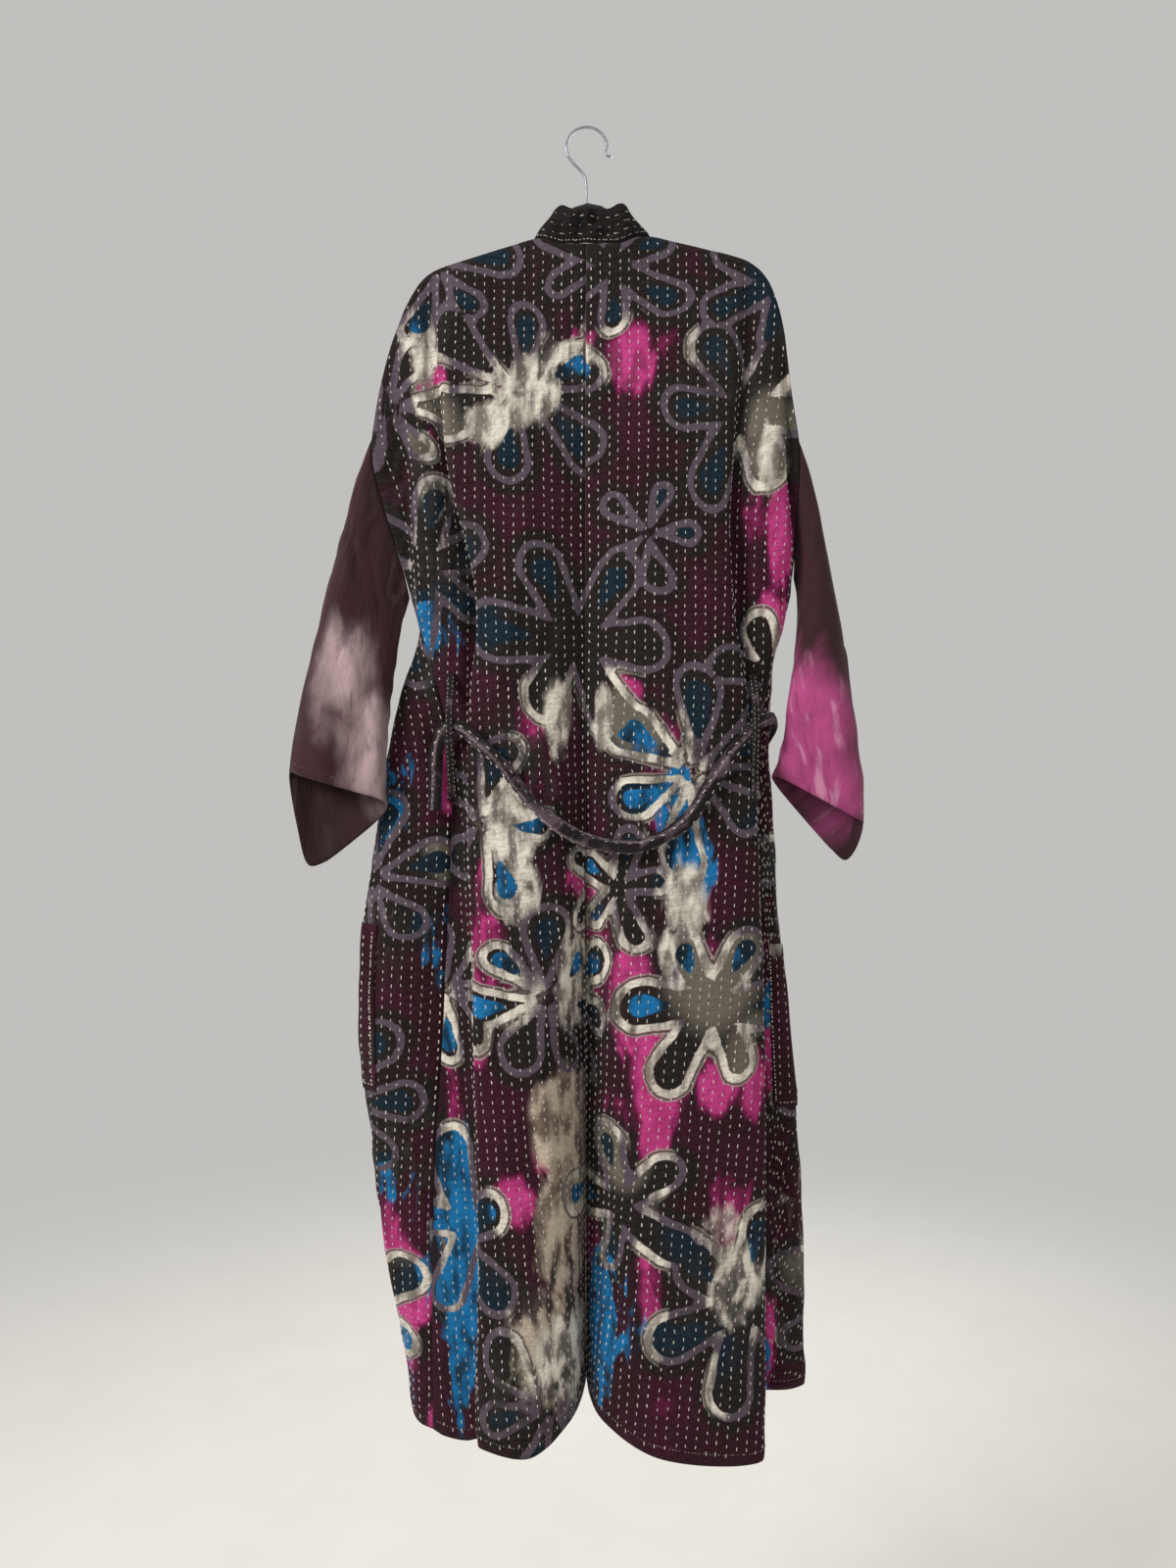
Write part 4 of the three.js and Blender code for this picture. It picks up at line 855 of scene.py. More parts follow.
def print_material():
    """The quilted cotton: resist flowers over a dark dye, partly taken out by bleach."""
    s = Shader("quilted_print")
    petal, drop, blue = s.field("petal"), s.field("drop"), s.field("blue")
    wobble = s.cloth_noise(0.05, 0.05, 3.0)
    petal = s.plus(petal, s.swing(wobble, 6.0))
    cloud = s.cloth_noise(0.012, 0.012, 4.0, 0.4)
    streak = s.cloth_noise(0.06, 0.02, 5.0, 1.0)
    mottle = s.cloth_noise(0.06, 0.024, 5.0, 0.35)
    mottled = s.step(mottle, 0.36, 0.66)
    uneven = s.swing(streak, 0.8)
    bleach = s.plus(s.field("bleach"), uneven)
    rust = s.step(s.plus(s.field("rust"), uneven), 0.35, 0.7)
    outline = s.times(s.step(petal, -0.8, 0.8), s.step(petal, 7.6, 9.4, 1.0, 0.0))
    inside = s.step(petal, 7.6, 9.4)
    drops = s.times(s.step(drop, -1.2, 1.2), inside)
    pale = s.step(bleach, 0.3, 0.62)
    ground = s.mix(s.step(cloud, 0.38, 0.62), "#340c1e", "#290d16")
    ground = s.mix(s.times(s.step(petal, -20.0, -7.0), 0.9), ground, "#191412")
    ground = s.mix(s.step(bleach, 0.52, 0.78), ground, "#6e1644")
    pink = s.mix(s.step(mottle, 0.3, 0.7), "#bd3f80", "#9c2a63")
    ground = s.mix(s.step(bleach, 0.68, 0.9), ground, pink)
    ground = s.mix(rust, ground, s.mix(mottled, "#b8a995", "#5f4f46"))
    band = s.step(petal, -5.4, -4.0)
    ground = s.mix(s.times(band, s.times(pale, 0.75)), ground, "#8f877c")
    line = s.times(s.step(petal, -3.2, -2.2), s.step(petal, -1.4, -0.4, 1.0, 0.0))
    ground = s.mix(s.times(s.times(line, pale), 0.8), ground, "#1d1917")
    cream = s.mix(mottled, "#d8d1c2", "#766e65")
    edge = s.mix(pale, "#514650", cream)
    fill = s.mix(s.step(blue, 0.25, 0.5), "#1d1714", "#0a1d29")
    fill = s.mix(s.step(s.field("taupe"), 0.3, 0.75), fill, "#625c51")
    fill = s.mix(rust, fill, s.mix(mottled, "#c2b8a4", "#6f6357"))
    bright = s.mix(s.step(mottle, 0.42, 0.7), "#12689c", "#0d2c40")
    fill = s.mix(s.step(s.plus(blue, uneven), 0.72, 0.92), fill, bright)
    dyed = s.mix(s.times(pale, s.step(bleach, 0.5, 0.8)), "#0b1f2b", bright)
    fill = s.mix(drops, fill, dyed)
    ragged = s.plus(blue, s.times(uneven, 1.8))
    ground = s.mix(s.step(ragged, 0.95, 1.15), ground, bright)
    base = s.mix(outline, ground, edge)
    base = s.mix(inside, base, fill)
    white = s.step(s.plus(s.field("white"), uneven), 0.4, 0.75)
    base = s.mix(s.times(white, s.math("SUBTRACT", 1.0, drops)), base, cream)
    smoke = s.times(s.field("smoke"), s.step(mottle, 0.46, 0.6))
    base = s.mix(s.times(smoke, 0.85), base, "#2a2524")
    wear = s.cloth_noise(0.3, 0.3, 4.0)
    base = s.mix(s.step(wear, 0.45, 0.8, 0.0, 0.07), base, "#8a8078")
    base = s.mix(s.times(s.field("inside"), 0.55), base, "#120e0d")
    return s.finish(base, 0.9, weave_bump(s), 0.02)


def dark_material(name, base_code, spot_code, pucker):
    """Dark cotton with worn spots, and a painted highlight where a fold of the sash's roll stands up,
    broken up by the wear noise.
    """
    s = Shader(name)
    cloud = s.cloth_noise(0.03, 0.03, 4.0, 0.8)
    base = s.mix(s.step(cloud, 0.5, 0.66), base_code, spot_code)
    wear = s.cloth_noise(0.3, 0.3, 4.0)
    base = s.mix(s.step(wear, 0.5, 0.85, 0.0, 0.12), base, "#6f675f")
    # Painted highlight: paler along the lines where the roll's folds stand up to the light, only where
    # the wear noise allows.
    base = s.mix(s.times(s.field("fold_highlight"), s.step(wear, 0.3, 0.6)), base, "#85757a")
    return s.finish(base, 0.9, weave_bump(s, pucker), 0.02)


def sleeve_material():
    """Plain cotton, tie-dyed: a soft cloud with the fine pale lines of its folds."""
    s = Shader("sleeve_cotton")
    soft = s.cloth_noise(0.018, 0.012, 5.0, 0.8)
    cloud = s.plus(s.field("cloud"), s.swing(soft, 1.3))
    share = s.step(cloud, 0.1, 1.15)
    tone = s.mix(s.field("warm"), "#b39a9a", "#b2487f")
    deep = s.mix(s.step(soft, 0.35, 0.7), "#35171c", "#2b1517")
    base = s.mix(share, deep, tone)
    streaks = s.cloth_noise(0.07, 0.02, 3.0, 0.3)
    light = s.times(s.step(streaks, 0.3, 0.46, 1.0, 0.0), share)
    base = s.mix(s.times(light, 0.35), base, "#e3bccd")
    base = s.mix(s.times(s.step(streaks, 0.54, 0.72), 0.5), base, deep)
    base = s.mix(s.times(s.field("inside"), 0.5), base, "#1d1213")
    crumple = s.cloth_noise(0.02, 0.008, 4.0, 0.8)
    threads = s.cloth_noise(2.0, 2.0, 1.0)
    normal = s.bump(crumple, 0.6, 0.012)
    normal = s.bump(threads, 0.2, 0.0004, normal)
    return s.finish(base, 0.8, normal, 0.1)


def thread_material(name, code):
    s = Shader(name)
    twist = s.noise(s.object_place(), 900.0, 2.0)
    base = s.mix(s.step(twist, 0.3, 0.7), code, "#a39c90")
    return s.finish(base, 0.7, s.bump(twist, 0.4, 0.0003), 0.1)


def flock_material():
    s = Shader("flocked_plastic")
    nap = s.noise(s.object_place(), 1400.0, 2.0)
    base = s.mix(s.step(nap, 0.3, 0.7), "#09090a", "#1c1c1e")
    return s.finish(base, 0.95, s.bump(nap, 0.6, 0.0004), 0.35)


def wire_material():
    s = Shader("polished_wire")
    scuff = s.noise(s.object_place(), 220.0, 4.0)
    rough = s.step(scuff, 0.35, 0.75, 0.24, 0.42)
    return s.finish("#a5a8ae", rough, s.bump(scuff, 0.1, 0.0002), metallic=1.0)


def half_robe(side):
    """The coarse grids of one side's back and front."""
    mirrored = side == "right"
    top = back_top_row(SHOULDER[side])
    out = np.array([0, 1.0, 0])
    back = panel_grid(top, BACK[side], BACK_FOLDS, BACK_ACROSS, CENTRE_SEAM, -out)
    front = panel_grid(top[NECK_PART:][::-1], FRONT[side], FRONT_FOLDS, FRONT_ACROSS, None, out)
    return {"back": back, "front": front, "mirrored": mirrored}


def join_seam(first, second):
    """Both panels end in one plane at a seam, each drawn back by half the gap.

    Each side is its edge's points and normals, and the points next to the edge.
    """
    shared = unit(first[1] + second[1])
    for unused in range(SEAM_SMOOTHING):
        shared = unit(np.gradient(np.cumsum(shared, axis=0), axis=0) + shared)
    seam = (first[0] + second[0]) / 2
    across = unit(np.cross(np.gradient(seam, axis=0), shared))
    for edge, normals, inner in (first, second):
        facing = np.sum(across * (inner - seam), axis=-1, keepdims=True)
        edge[:] = seam + np.where(facing > 0, across, -across) * SEAM_GAP / 2
        normals[:] = shared


def part_walls(first, second):
    """Where the cloth folds sharply at a seam, the two walls next to it keep clear."""
    apart = second - first
    near = WALLS_APART - np.linalg.norm(apart, axis=-1, keepdims=True)
    push = unit(apart) * np.clip(near, 0, None) / 2
    first -= push
    second += push


def dressed_half(side):
    """Fine grids with their normals, alike along the seams."""
    half = half_robe(side)
    mirrored = half["mirrored"]
    back = finer(half["back"], FINE_ACROSS, FINE_DOWN)
    front = finer(half["front"], FINE_ACROSS, FINE_DOWN)
    armpit = fine_row(ROWS_TO_ARMPIT)
    neck = NECK_PART * FINE_ACROSS
    for k in range(1, ROWS_APART):
        part_walls(back[neck:, k][::-1], front[:, k])
        part_walls(back[-1 - k, 1:], front[k, 1:])
    part_walls(back[-1, 1:armpit], front[0, 1:armpit])
    back_normals = grid_normals(back, mirrored)
    front_normals = grid_normals(front, mirrored)
    join_seam((back[-1, armpit:], back_normals[-1, armpit:], back[-2, armpit:]),
              (front[0, armpit:], front_normals[0, armpit:], front[1, armpit:]))
    join_seam((back[neck:, 0][::-1], back_normals[neck:, 0][::-1], back[neck:, 1][::-1]),
              (front[:, 0], front_normals[:, 0], front[:, 1]))
    return {"back": back, "front": front, "back_normals": back_normals,
            "front_normals": front_normals, "mirrored": mirrored, "coarse": half}


def robe_halves():
    """Both halves, joined down the centre of the back."""
    both = {side: dressed_half(side) for side in ("left", "right")}
    join_seam(*((half["back"][0], half["back_normals"][0], half["back"][1])
                for half in both.values()))
    return both


def relief(grid, normals, creases, seed):
    """Listed creases over a faint unevenness, both fading out at the panel's edges."""
    m, n = grid.shape[:2]
    small = sum(soft_noise((m, n), cells, seed + k) * height
                for k, (cells, height) in enumerate(RIPPLES))
    i = np.minimum(np.arange(m), np.arange(m)[::-1])[:, None]
    j = np.minimum(np.arange(n), np.arange(n)[::-1])[None, :]
    fade = np.clip(i / FADE_POINTS, 0, 1) * np.clip(j / FADE_POINTS, 0, 1)
    moved = (creased(grid, normals, creases) - grid) * CREASE_DEPTH
    return grid + moved * fade[..., None] + normals * (small * UNEVENNESS * fade)[..., None]


def stitch_paths(grid, normals, across, positions):
    """Lines of constant distance across the cloth, each as points with their normals."""
    m, n = grid.shape[:2]
    for position in positions:
        points, facing = [], []
        for j in range(1, n):
            if position > across[-1, j] - ROW_MARGIN:
                if len(points) > 3:
                    yield np.array(points), np.array(facing)
                points, facing = [], []
                continue
            k = int(np.searchsorted(across[:, j], position)) - 1
            k = min(max(k, 0), m - 2)
            share = (position - across[k, j]) / max(across[k + 1, j] - across[k, j], 1e-6)
            points.append(grid[k, j] + (grid[k + 1, j] - grid[k, j]) * share)
            facing.append(normals[k, j] + (normals[k + 1, j] - normals[k, j]) * share)
        if len(points) > 3:
            yield np.array(points), np.array(facing)


def stitches_along(path, facing, stitch, offset, slant=0.0):
    """Start, end and normal of each stitch along one path, so far off it."""
    pitch, length, ends = stitch
    run = run_along(path)
    starts = np.arange(ends + rng.uniform(0, pitch), run[-1] - ends - length, pitch)
    starts = starts + rng.uniform(-STITCH_SHIFT, STITCH_SHIFT, len(starts))
    lengths = length * rng.uniform(*STITCH_SHARES, len(starts))
    a = at_distance(path, run, starts)
    b = at_distance(path, run, starts + lengths)
    normal = unit(at_distance(facing, run, starts + lengths / 2))
    aside = unit(np.cross(unit(b - a), normal))
    lean = (rng.normal(0, STITCH_LEAN, len(starts)) + slant)[:, None] * aside
    drift = (STITCH_DRIFT * np.sin(starts / DRIFT_LENGTH + rng.uniform(0, 6)))[:, None] * aside
    a, b = a + drift + normal * offset, b + drift + normal * offset
    return a - lean, b + lean, normal


def stitch_mesh(name, sets, material, thread=KANTHA_THREAD):
    """All the stitches of a piece as one joined mesh, each a small ridge of thread."""
    width, height = thread
    a, b, normal = (np.concatenate(column) for column in zip(*sets))
    along = b - a
    aside = unit(np.cross(unit(along), normal)) * width / 2
    up = normal * height
    down = normal * THREAD_DEPTH
    p1, p2 = (a + along * share for share in THREAD_SHOULDERS)
    rows = [a - down, p1 - aside - down, p1 + up, p1 + aside - down,
            p2 - aside - down, p2 + up, p2 + aside - down, b - down]
    points = np.stack(rows, axis=1).reshape(-1, 3)
    ridge = np.array([(0, 2, 1), (0, 3, 2), (1, 2, 5), (1, 5, 4), (2, 3, 6), (2, 6, 5), (4, 5, 7),
                      (5, 6, 7)])
    faces = (ridge[None] + 8 * np.arange(len(a))[:, None, None]).reshape(-1, 3).tolist()
    return mesh_object(name, points, faces, {}, material)


def quilted_panel(name, grid, normals, mirrored, fields, across):
    """One quilted panel with its running stitches, in place of its solid."""
    panel = shell(f"{name}_cloth", grid, normals, QUILT / 2, -QUILT / 2, mirrored, fields, PRINT)
    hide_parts(name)
    stitch = KANTHA
    lines = stitch_paths(grid, normals, across, np.arange(*KANTHA_ROWS))
    if name == CROSSWISE_PANEL:
        stitch = CROSSWISE_KANTHA
        down = np.abs(grid[..., 2] - grid[:, :1, 2])
        lines = stitch_paths(grid.swapaxes(0, 1), normals.swapaxes(0, 1), down.T,
                             np.arange(*CROSSWISE_ROWS))
    sets = [stitches_along(path, facing, stitch, QUILT / 2) for path, facing in lines]
    stitch_mesh(f"{name}_running_stitches", sets, THREAD)
    return panel


def panel_fields(grid, across, flowers, apart):
    petal, drop = flower_field(across, grid[..., 2], flowers)
    return {"u": across + apart, "v": grid[..., 2], "petal": petal, "drop": drop}


def charted_flowers(grid, across, sign):
    """The back's flowers on one panel laid flat. Those near the centre seam are on both."""
    shift = RIGHT_SHIFT if sign > 0 else 0
    charted = []
    for x, z, reach, count, turn, is_open in BACK_FLOWERS:
        if x * sign > -reach:
            u, v = nearest_flat(grid, across, x, z) if x * sign > 0 else (x * sign, z)
            charted.append((u + shift, v - shift, reach, count, turn * sign, is_open))
    return charted


def back_fields(grid, across, sign):
    fields = panel_fields(grid, across, charted_flowers(grid, across, sign), BACK_APART * sign)
    for key, table in BACK_PATCHES.items():
        fields[key] = spots(grid, [] if key == "rust" and sign > 0 else table)
    return fields


def front_fields(grid, across, sign):
    fields = panel_fields(grid, across, FRONT_FLOWERS, FRONT_APART * sign)
    for key, (cells, seed, strength, limit) in FRONT_PATCHES.items():
        fields[key] = np.clip(soft_noise(across.shape, cells, seed + sign) * strength, 0, limit)
    fields["rust"] = spots(grid, [])
    return fields


def add_panel(part, side, seed):
    """One quilted panel, printed as it lies flat and then put in relief."""
    half = halves[side]
    name = f"{part}_{side}"
    grid, normals = half[part], half[f"{part}_normals"]
    across = flat_across(grid)
    part_fields = back_fields if part == "back" else front_fields
    fields = part_fields(grid, across, 1 if side == "right" else -1)
    grid = relief(grid, normals, CREASES[name], seed)
    half[part] = grid
    half[f"{part}_fields"] = fields
    sheets[name] = quilted_panel(name, grid, normals, half["mirrored"], fields, across)


def toward(before, after, normal, point, inside):
    """Square to a seam and to the cloth, towards a point inside it."""
    across = unit(np.cross(after - before, normal))
    return across if across @ (inside - point) > 0 else -across


def armhole(coarse):
    """The armhole, round the back's edge and up the front's, just outside the seam."""
    back, front = coarse["back"], coarse["front"]
    back_normals = grid_normals(back, coarse["mirrored"])
    front_normals = grid_normals(front, coarse["mirrored"])
    edge = [(back[-1, j], back_normals[-1, j], back[-2, j]) for j in range(ROWS_TO_ARMPIT)]
    edge += [(front[0, j], front_normals[0, j], front[1, j]) for j in range(ROWS_TO_ARMPIT, 0, -1)]
    side = unit(back_normals[-1, ROWS_TO_ARMPIT] + front_normals[0, ROWS_TO_ARMPIT])
    ring = []
    for k, (point, normal, inside) in enumerate(edge):
        if k == ROWS_TO_ARMPIT:
            ring.append(point + side * ARMPIT_GAP)
            continue
        before, after = edge[k - 1][0], edge[(k + 1) % len(edge)][0]
        ring.append(point - toward(before, after, normal, point, inside) * ARMHOLE_GAP)
    return np.array(ring)


def closed_finer(rings, around, along):
    """Rings divided again, each kept closed."""
    count, lap = rings.shape[1], 3
    wrapped = np.concatenate([rings[:, -lap:], rings, rings[:, :lap]], axis=1)
    places = lap + np.arange(count * around) / around
    rings = spline(wrapped.swapaxes(0, 1), places).swapaxes(0, 1)
    return spline(rings, np.linspace(0, len(rings) - 1, (len(rings) - 1) * along + 1))


def sleeve_rings(coarse, cuff):
    outer, inner = np.array(cuff["outer"], float), np.array(cuff["inner"], float)
    mouth = outer + CUFF_RING[:, :1] * (inner - outer)
    mouth[:, 1] += CUFF_RING[:, 1]
    mouth[:, 2] -= CUFF_RING[:, 2] * cuff["fall"]
    start = armhole(coarse)
    k = np.arange(len(start))
    facing = np.where(k > ROWS_TO_ARMPIT, 1, -1)
    round_off = np.abs(np.sin(np.pi * k / ROWS_TO_ARMPIT)) ** 0.5
    rings = []
    for row in range(SLEEVE_ROWS + 1):
        share = row / SLEEVE_ROWS
        fullness = max(math.sin(math.pi * share), 0) ** 0.5
        ring = start + (mouth - start) * share
        ring[:, 0] += cuff["bow"] * fullness
        ring[:, 1] += facing * SLEEVE_FULLNESS * fullness * round_off
        rings.append(ring)
    return np.array(rings)


def sleeve_cloth(name, rings, fields):
    """A sleeve of cloth with its grid and normals: rings are (along, around)."""
    grid = rings.swapaxes(0, 1)
    round_way = np.roll(grid, -1, axis=0) - np.roll(grid, 1, axis=0)
    normals = unit(np.cross(round_way, np.gradient(grid, axis=1)))
    centre = grid.mean(axis=0, keepdims=True)
    flip = np.mean(np.sum(normals * (grid - centre), axis=-1)) < 0
    normals = -normals if flip else normals
    thin = np.ones(grid.shape[:2])
    thin[:, [0, -1]] = SLEEVE_EDGE_SHARE
    half = SLEEVE_CLOTH / 2 * thin[..., None]
    sleeve = closed_cloth(name, grid, normals, (half, -half), flip, fields, SLEEVE,
                          tube=True)
    return sleeve, grid, normals


def add_sleeve(side):
    half = halves[side]
    rings = closed_finer(sleeve_rings(half["coarse"], CUFF[side]), *SLEEVE_FINER)
    steps = np.linalg.norm(np.diff(rings, axis=1, append=rings[:, :1]), axis=-1)
    around = np.cumsum(steps, axis=1)
    centre = rings.mean(axis=1, keepdims=True)
    outward = unit((rings - centre) * [0.1, 1, 0.1])
    small = soft_noise(rings.shape[:2], *SLEEVE_NOISE[side])
    lifted = creased(rings, outward, SLEEVE_CREASES[side])
    row = np.arange(len(rings))
    fade = np.clip(np.minimum(row, row[::-1] + 2) / SLEEVE_FADE, 0, 1)
    rings = rings + (lifted - rings + outward * small[..., None]) * fade[:, None, None]
    fields = {"u": around.T, "v": rings[..., 2].T, "cloud": spots(rings, SLEEVE_CLOUDS[side]).T,
              "warm": np.full(rings.shape[:2], 1.0 if side == "right" else 0.0).T}
    name = f"sleeve_{side}"
    sleeve, grid, normals = sleeve_cloth(f"{name}_cloth", rings, fields)
    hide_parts(name)
    hem = np.concatenate([grid[:, -3], grid[:1, -3]])
    facing = np.concatenate([normals[:, -3], normals[:1, -3]])
    stitches = stitches_along(hem, facing, SLEEVE_STITCH, SLEEVE_CLOTH / 2 - PULLED_IN)
    thread = stitch_mesh(f"{name}_topstitch", [stitches], DARK_THREAD, SLEEVE_THREAD)
    declare(sleeve, grid, around.max())


def surface_area(grid, closed=False):
    if closed:
        grid = np.concatenate([grid, grid[:1]])
    a = np.cross(grid[1:, :-1] - grid[:-1, :-1], grid[:-1, 1:] - grid[:-1, :-1])
    b = np.cross(grid[1:, :-1] - grid[1:, 1:], grid[:-1, 1:] - grid[1:, 1:])
    return (np.linalg.norm(a, axis=-1).sum() + np.linalg.norm(b, axis=-1).sum()) / 2 * 1e-6


def declare(piece, grid, width=None):
    """The sheet's size laid flat and its area, reckoned from the cloth's own grid and then left unused.
    """
    closed = width is not None
    wide = width if closed else flat_across(grid).max()
    long = max(run_along(column)[-1] for column in grid[::4])
    area = min(surface_area(grid, closed), wide * long * 1e-6)


def band_width(share, mirrored):
    corner, chest = np.array(BAND_WIDTH["corner"], float), np.array(BAND_WIDTH["chest"], float)
    width = corner + (chest - corner) * min(1, share)
    return width * [-1, 1, 1] if mirrored else width


def band_stations():
    """Across the band, its seam's point and the gap there, from hem to hem round the neck."""
    nape = np.array(BAND_WIDTH["nape"], float)

    def front_run(side):
        front = halves[side]["coarse"]["front"]
        for j in range(ROWS + 1):
            across = band_width(j / (ROWS_TO_ARMPIT - 1), side == "right")
            across[1] += BAND_OUT if 0 < j < ROWS_TO_ARMPIT else 0
            yield across, front[-1, j], NECK_GAP if j == 0 else BAND_SEAM_GAP

    def neck_run(side):
        back = halves[side]["coarse"]["back"]
        for i in range(1, NECK_PART):
            across = nape + (band_width(0, side == "right") - nape) * i / NECK_PART
            yield across, back[i, 0], NECK_GAP

    stations = list(front_run("left"))[::-1] + list(neck_run("left"))[::-1]
    stations += [(nape, np.array(CENTRE_SEAM[0], float), NECK_GAP)]
    return stations + list(neck_run("right")) + list(front_run("right"))


def band_grid():
    """The band's points and normals, crumpled most at the nape."""
    grid = np.array([[edge + unit(across) * gap + across * step / 3 for step in range(4)]
                     for across, edge, gap in band_stations()])
    grid = spline(grid, np.linspace(0, len(grid) - 1, (len(grid) - 1) * BAND_FINER + 1))
    grid = spline(grid.swapaxes(0, 1), np.linspace(0, 3, BAND_COLUMNS)).swapaxes(0, 1)
    normals = grid_normals(grid)
    m, n = grid.shape[:2]
    near_nape = np.exp(-((np.arange(m) - m / 2) / BAND_CRUMPLE["spread"]) ** 2)[:, None]
    crumple = soft_noise((m, n), BAND_CRUMPLE["cells"], BAND_CRUMPLE["seed"])
    crumple *= BAND_CRUMPLE["least"] + BAND_CRUMPLE["nape"] * near_nape
    crumple *= np.clip(np.minimum(np.arange(n), np.arange(n)[::-1]) / 2, 0.15, 1)
    return grid + normals * crumple[..., None], normals


def add_neckband():
    """The band round the fronts and the neck, double cloth with slanting stitches."""
    grid, normals = band_grid()
    m, n = grid.shape[:2]
    run = run_along(grid[:, BAND_COLUMNS // 2])
    fields = {"u": np.repeat(run[:, None], n, axis=1),
              "v": np.repeat(np.linspace(0, BAND_WIDTH["chest"][0], n)[None], m, axis=0)}
    outer = BAND_CLOTH / 2
    band = shell("neckband_cloth", grid, normals, outer, -outer, False, fields, BAND)
    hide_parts("neckband")
    sets = []
    for column in BAND_ROWS:
        for facing in (normals, -normals):
            a, b, normal = stitches_along(grid[:, column], facing[:, column], BAND_STITCH, outer)
            lean = rng.normal(0, BAND_LEAN, len(a))[:, None] * unit(grid[0, 1] - grid[0, 0])
            sets.append((a - lean, b + lean, normal))
    for facing in (normals, -normals):
        sets.append(stitches_along(grid[:, 1], facing[:, 1], NECK_SEAM, outer - NECK_PULLED_IN))
    thread = stitch_mesh("neckband_stitches", sets, THREAD, BAND_THREAD)
    round(surface_area(grid), 4)


def add_pocket(side):
    half, limits = halves[side], POCKET[side]
    columns = slice(limits["near"] * FINE_ACROSS, limits["far"] * FINE_ACROSS + 1)
    rows = slice(fine_row(limits["top"]), fine_row(limits["bottom"]) + 1)
    grid = half["front"][columns, rows]
    normals = half["front_normals"][columns, rows]
    across = flat_across(grid)
    aside, up, turned = POCKET_FLOWERS
    moved = [(u + aside, v + up, reach, count, turn + turned, is_open)
             for u, v, reach, count, turn, is_open in FRONT_FLOWERS]
    fields = panel_fields(grid, across + POCKET_SHIFT, moved, POCKET_APART)
    for key in BACK_PATCHES:
        fields[key] = half["front_fields"][key][columns, rows][::-1]
    gap = QUILT / 2 + POCKET_GAP
    pocket = shell(f"pocket_{side}_cloth", grid, normals, gap + QUILT, gap, half["mirrored"], fields,
                   PRINT)
    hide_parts(f"pocket_{side}")
    lines = stitch_paths(grid, normals, across, np.arange(*POCKET_ROWS))
    sets = [stitches_along(path, facing, KANTHA, gap + QUILT) for path, facing in lines]
    for edge in (1, -2):
        sets.append(stitches_along(grid[edge], normals[edge], POCKET_STITCH, gap + QUILT - PULLED_IN))
    sets.append(stitches_along(grid[:, -2], normals[:, -2], POCKET_STITCH, gap + QUILT - PULLED_IN))
    thread = stitch_mesh(f"pocket_{side}_stitches", sets, THREAD)
    declare(pocket, grid)


def sash_folds(run, angle, twist):
    """How far the roll's cloth stands out, as a share of the roll's size."""
    pinch = 1 - 0.10 * (1 + np.sin(run / 17) * np.sin(run / 41 + 1))[:, None]
    folds = 1 + 0.06 * np.cos(2 * angle + twist) + 0.04 * np.cos(5 * angle - 0.7 * twist)
    cells, seed, height = SASH_NOISE
    return folds * pinch + soft_noise(folds.shape, cells, seed) * height


def add_sash():
    """The sash: quilted cloth bunched into a soft roll."""
    places = np.linspace(0, len(SASH) - 1, SASH_STEPS + 1)
    centre = spline(SASH[:, :3], places)
    turn = np.radians(np.interp(places, np.arange(len(SASH)), SASH[:, 3]))
    face = np.stack([np.cos(turn), np.sin(turn), np.zeros_like(turn)], axis=1)
    tangent = unit(np.gradient(centre, axis=0))
    across = unit(np.cross(tangent, face))
    thick = unit(np.cross(across, tangent))
    run = run_along(centre)
    angle = 2 * np.pi * (np.arange(SASH_SIDES) + 0.5) / SASH_SIDES
    twist = run[:, None] / SASH_TWIST
    folds = sash_folds(run, angle, twist)
    wide = across[:, None] * (np.cos(angle) * SASH_HALF_WIDTH * folds)[..., None]
    high = thick[:, None] * (np.sin(angle) * SASH_HALF_THICK * folds)[..., None]
    rings = centre[:, None] + wide + high
    outward = unit(rings - centre[:, None])
    index = np.arange(rings[..., 0].size).reshape(rings.shape[:2])
    beside = np.roll(index, -1, axis=1)
    quads = np.stack([index[:-1], index[1:], beside[1:], beside[:-1]], axis=-1)
    faces = quads.reshape(-1, 4).tolist() + [index[0].tolist(), index[-1, ::-1].tolist()]
    # The fold field marks a painted highlight: three lines round the roll, twisting along it, which the
    # material paints paler.
    fields = {"u": np.repeat((angle * 7)[None], len(rings), axis=0).ravel(),
              "v": np.repeat(run[:, None], SASH_SIDES, axis=1).ravel(),
              "fold_highlight": np.clip(np.cos(3 * angle + twist), 0, 1).ravel() ** 6}
    sash = mesh_object("belt_cloth", rings.reshape(-1, 3), faces, fields, SASH_CLOTH)
    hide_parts("belt")
    sets = [stitches_along(rings[:, k], outward[:, k], SASH_STITCH, 0.0, SASH_SLANT)
            for k in range(1, SASH_SIDES, 5)]
    thread = stitch_mesh("belt_stitches", sets, THREAD, SASH_THREAD)


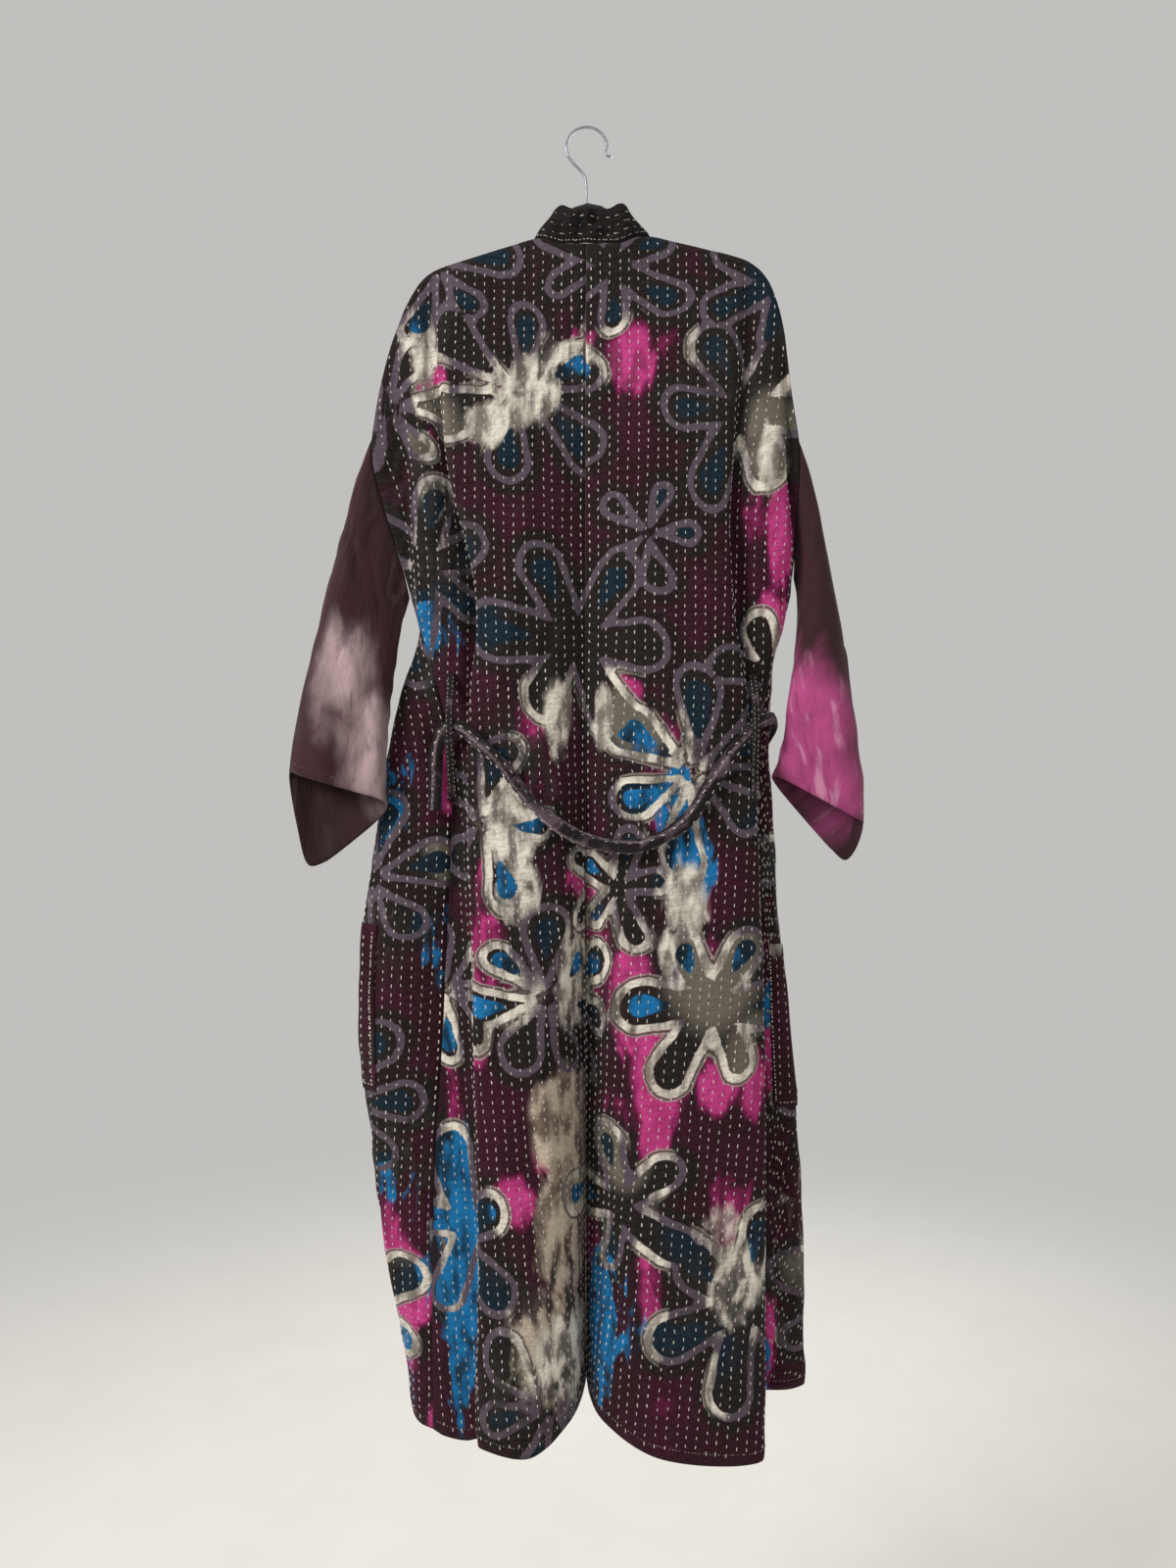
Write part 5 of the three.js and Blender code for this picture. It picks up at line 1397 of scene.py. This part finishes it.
def add_loop(side):
    x, path = LOOP[side]
    spine = evenly([(x, y - LOOP_CLEAR, z) for y, z in path], 0, len(path) - 1, LOOP_STEPS)
    shifts = np.linspace(-LOOP_HALF_WIDTH, LOOP_HALF_WIDTH, LOOP_COLUMNS)
    curl = 0.5 * (shifts / LOOP_HALF_WIDTH) ** 2
    grid = spine[None] + np.stack([shifts, curl, np.zeros(LOOP_COLUMNS)], axis=1)[:, None]
    normals = grid_normals(grid)
    run = run_along(spine)
    fields = {"u": np.repeat(shifts[:, None], LOOP_STEPS + 1, axis=1),
              "v": np.repeat(run[None], LOOP_COLUMNS, axis=0)}
    loop = shell(f"belt_loop_{side}_cloth", grid, normals, LOOP_HALF_THICK, -LOOP_HALF_THICK, False,
                 fields, SASH_CLOTH)
    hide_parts(f"belt_loop_{side}")
    sets = []
    for column in (1, LOOP_COLUMNS - 2):
        for facing in (normals[column], -normals[column]):
            sets.append(stitches_along(grid[column], facing, LOOP_STITCH, LOOP_HALF_THICK))
    thread = stitch_mesh(f"belt_loop_{side}_stitches", sets, THREAD, LOOP_THREAD)


def add_hem(part, side):
    """Topstitching along one panel's hem."""
    half = halves[side]
    grid, normals = half[part], half[f"{part}_normals"]
    row = stitches_along(grid[:, -3], normals[:, -3], HEM_STITCH, QUILT / 2 - PULLED_IN)
    name = f"{part}_{side}_hem_stitches"
    half[f"{part}_hem"] = stitch_mesh(name, [row], THREAD, HEM_THREAD)


def add_tacks():
    tacks = []
    for x, top, bottom in NECK_TACKS:
        half = halves["left" if x < 0 else "right"]
        grid, normals = half["back"], half["back_normals"]
        column = int(np.argmin(np.abs(grid[:, TACK_ROW, 0] - x)))
        path, facing = grid[column], normals[column]
        keep = (path[:, 2] < top) & (path[:, 2] > bottom)
        tacks.append(stitches_along(path[keep], facing[keep], TACK, QUILT / 2))
    return stitch_mesh("neck_tacks", tacks, THREAD, TACK_THREAD)


def add_light(name, place, target, size, power):
    data = bpy.data.lights.new(name, "AREA")
    data.energy = power
    data.size = size
    light = bpy.data.objects.new(name, data)
    light.location = place
    way = np.array(target) - np.array(place)
    yaw = math.atan2(way[1], way[0])
    pitch = math.acos(way[2] / np.linalg.norm(way))
    light.rotation_euler = (math.pi - pitch, 0, yaw - math.pi / 2)
    scene.collection.objects.link(light)


def add_stage():
    s = Shader("pale_floor")
    place = s.object_place()
    grain = s.noise(place, 6.0, 4.0)
    away = s.node("ShaderNodeVectorMath", operation="LENGTH")
    s.put(away.inputs[0], place)
    material = s.finish(s.mix(grain, "#dad7d0", "#e4e1db"), 0.9)
    shader = next(node for node in s.tree.nodes if node.type == "BSDF_PRINCIPLED")
    s.put(shader.inputs["Alpha"], s.step(away.outputs["Value"], *FLOOR_FADES, 1.0, 0.0))
    mesh = bpy.data.meshes.new("floor")
    corners = [(x * FLOOR_HALF, y * FLOOR_HALF, FLOOR_HEIGHT)
               for x, y in ((-1, -1), (1, -1), (1, 1), (-1, 1))]
    mesh.from_pydata(corners, [], [(0, 1, 2, 3)])
    mesh.materials.append(material)
    floor = bpy.data.objects.new("floor", mesh)
    scene.collection.objects.link(floor)
    world = bpy.data.worlds.new("studio")
    world.use_nodes = True
    background = world.node_tree.nodes["Background"]
    background.inputs[0].default_value = WORLD_COLOUR
    background.inputs[1].default_value = WORLD_STRENGTH
    scene.world = world
    for name, (place, target, size, power) in LIGHTS.items():
        add_light(name, place, target, size, power)


PRINT = print_material()
BAND = dark_material("dark_kantha", "#120f0e", "#1c1516", 1.0)
SASH_CLOTH = dark_material("sash_kantha", "#1d1718", "#55464c", 0.6)
SLEEVE = sleeve_material()
THREAD = thread_material("white_thread", "#e6e1d6")
DARK_THREAD = thread_material("faded_thread", "#8f7770")
FLOCK = flock_material()
WIRE = wire_material()

sheets = {}
halves = robe_halves()
for number, (side, part) in enumerate(PANELS):
    add_panel(part, side, RELIEF_SEED + number)
for side, part in PANELS:
    add_hem(part, side)
tacks = add_tacks()
for side, half in halves.items():
    for part in ("back", "front"):
        name = f"{part}_{side}"
        declare(sheets[name], half[part])
    add_sleeve(side)
    add_pocket(side)
    add_loop(side)
add_neckband()
add_sash()
for node, material in (("hanger_body", FLOCK), ("hanger_hook", WIRE)):
    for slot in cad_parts[node].material_slots:
        slot.material = material
add_camera()
add_stage()
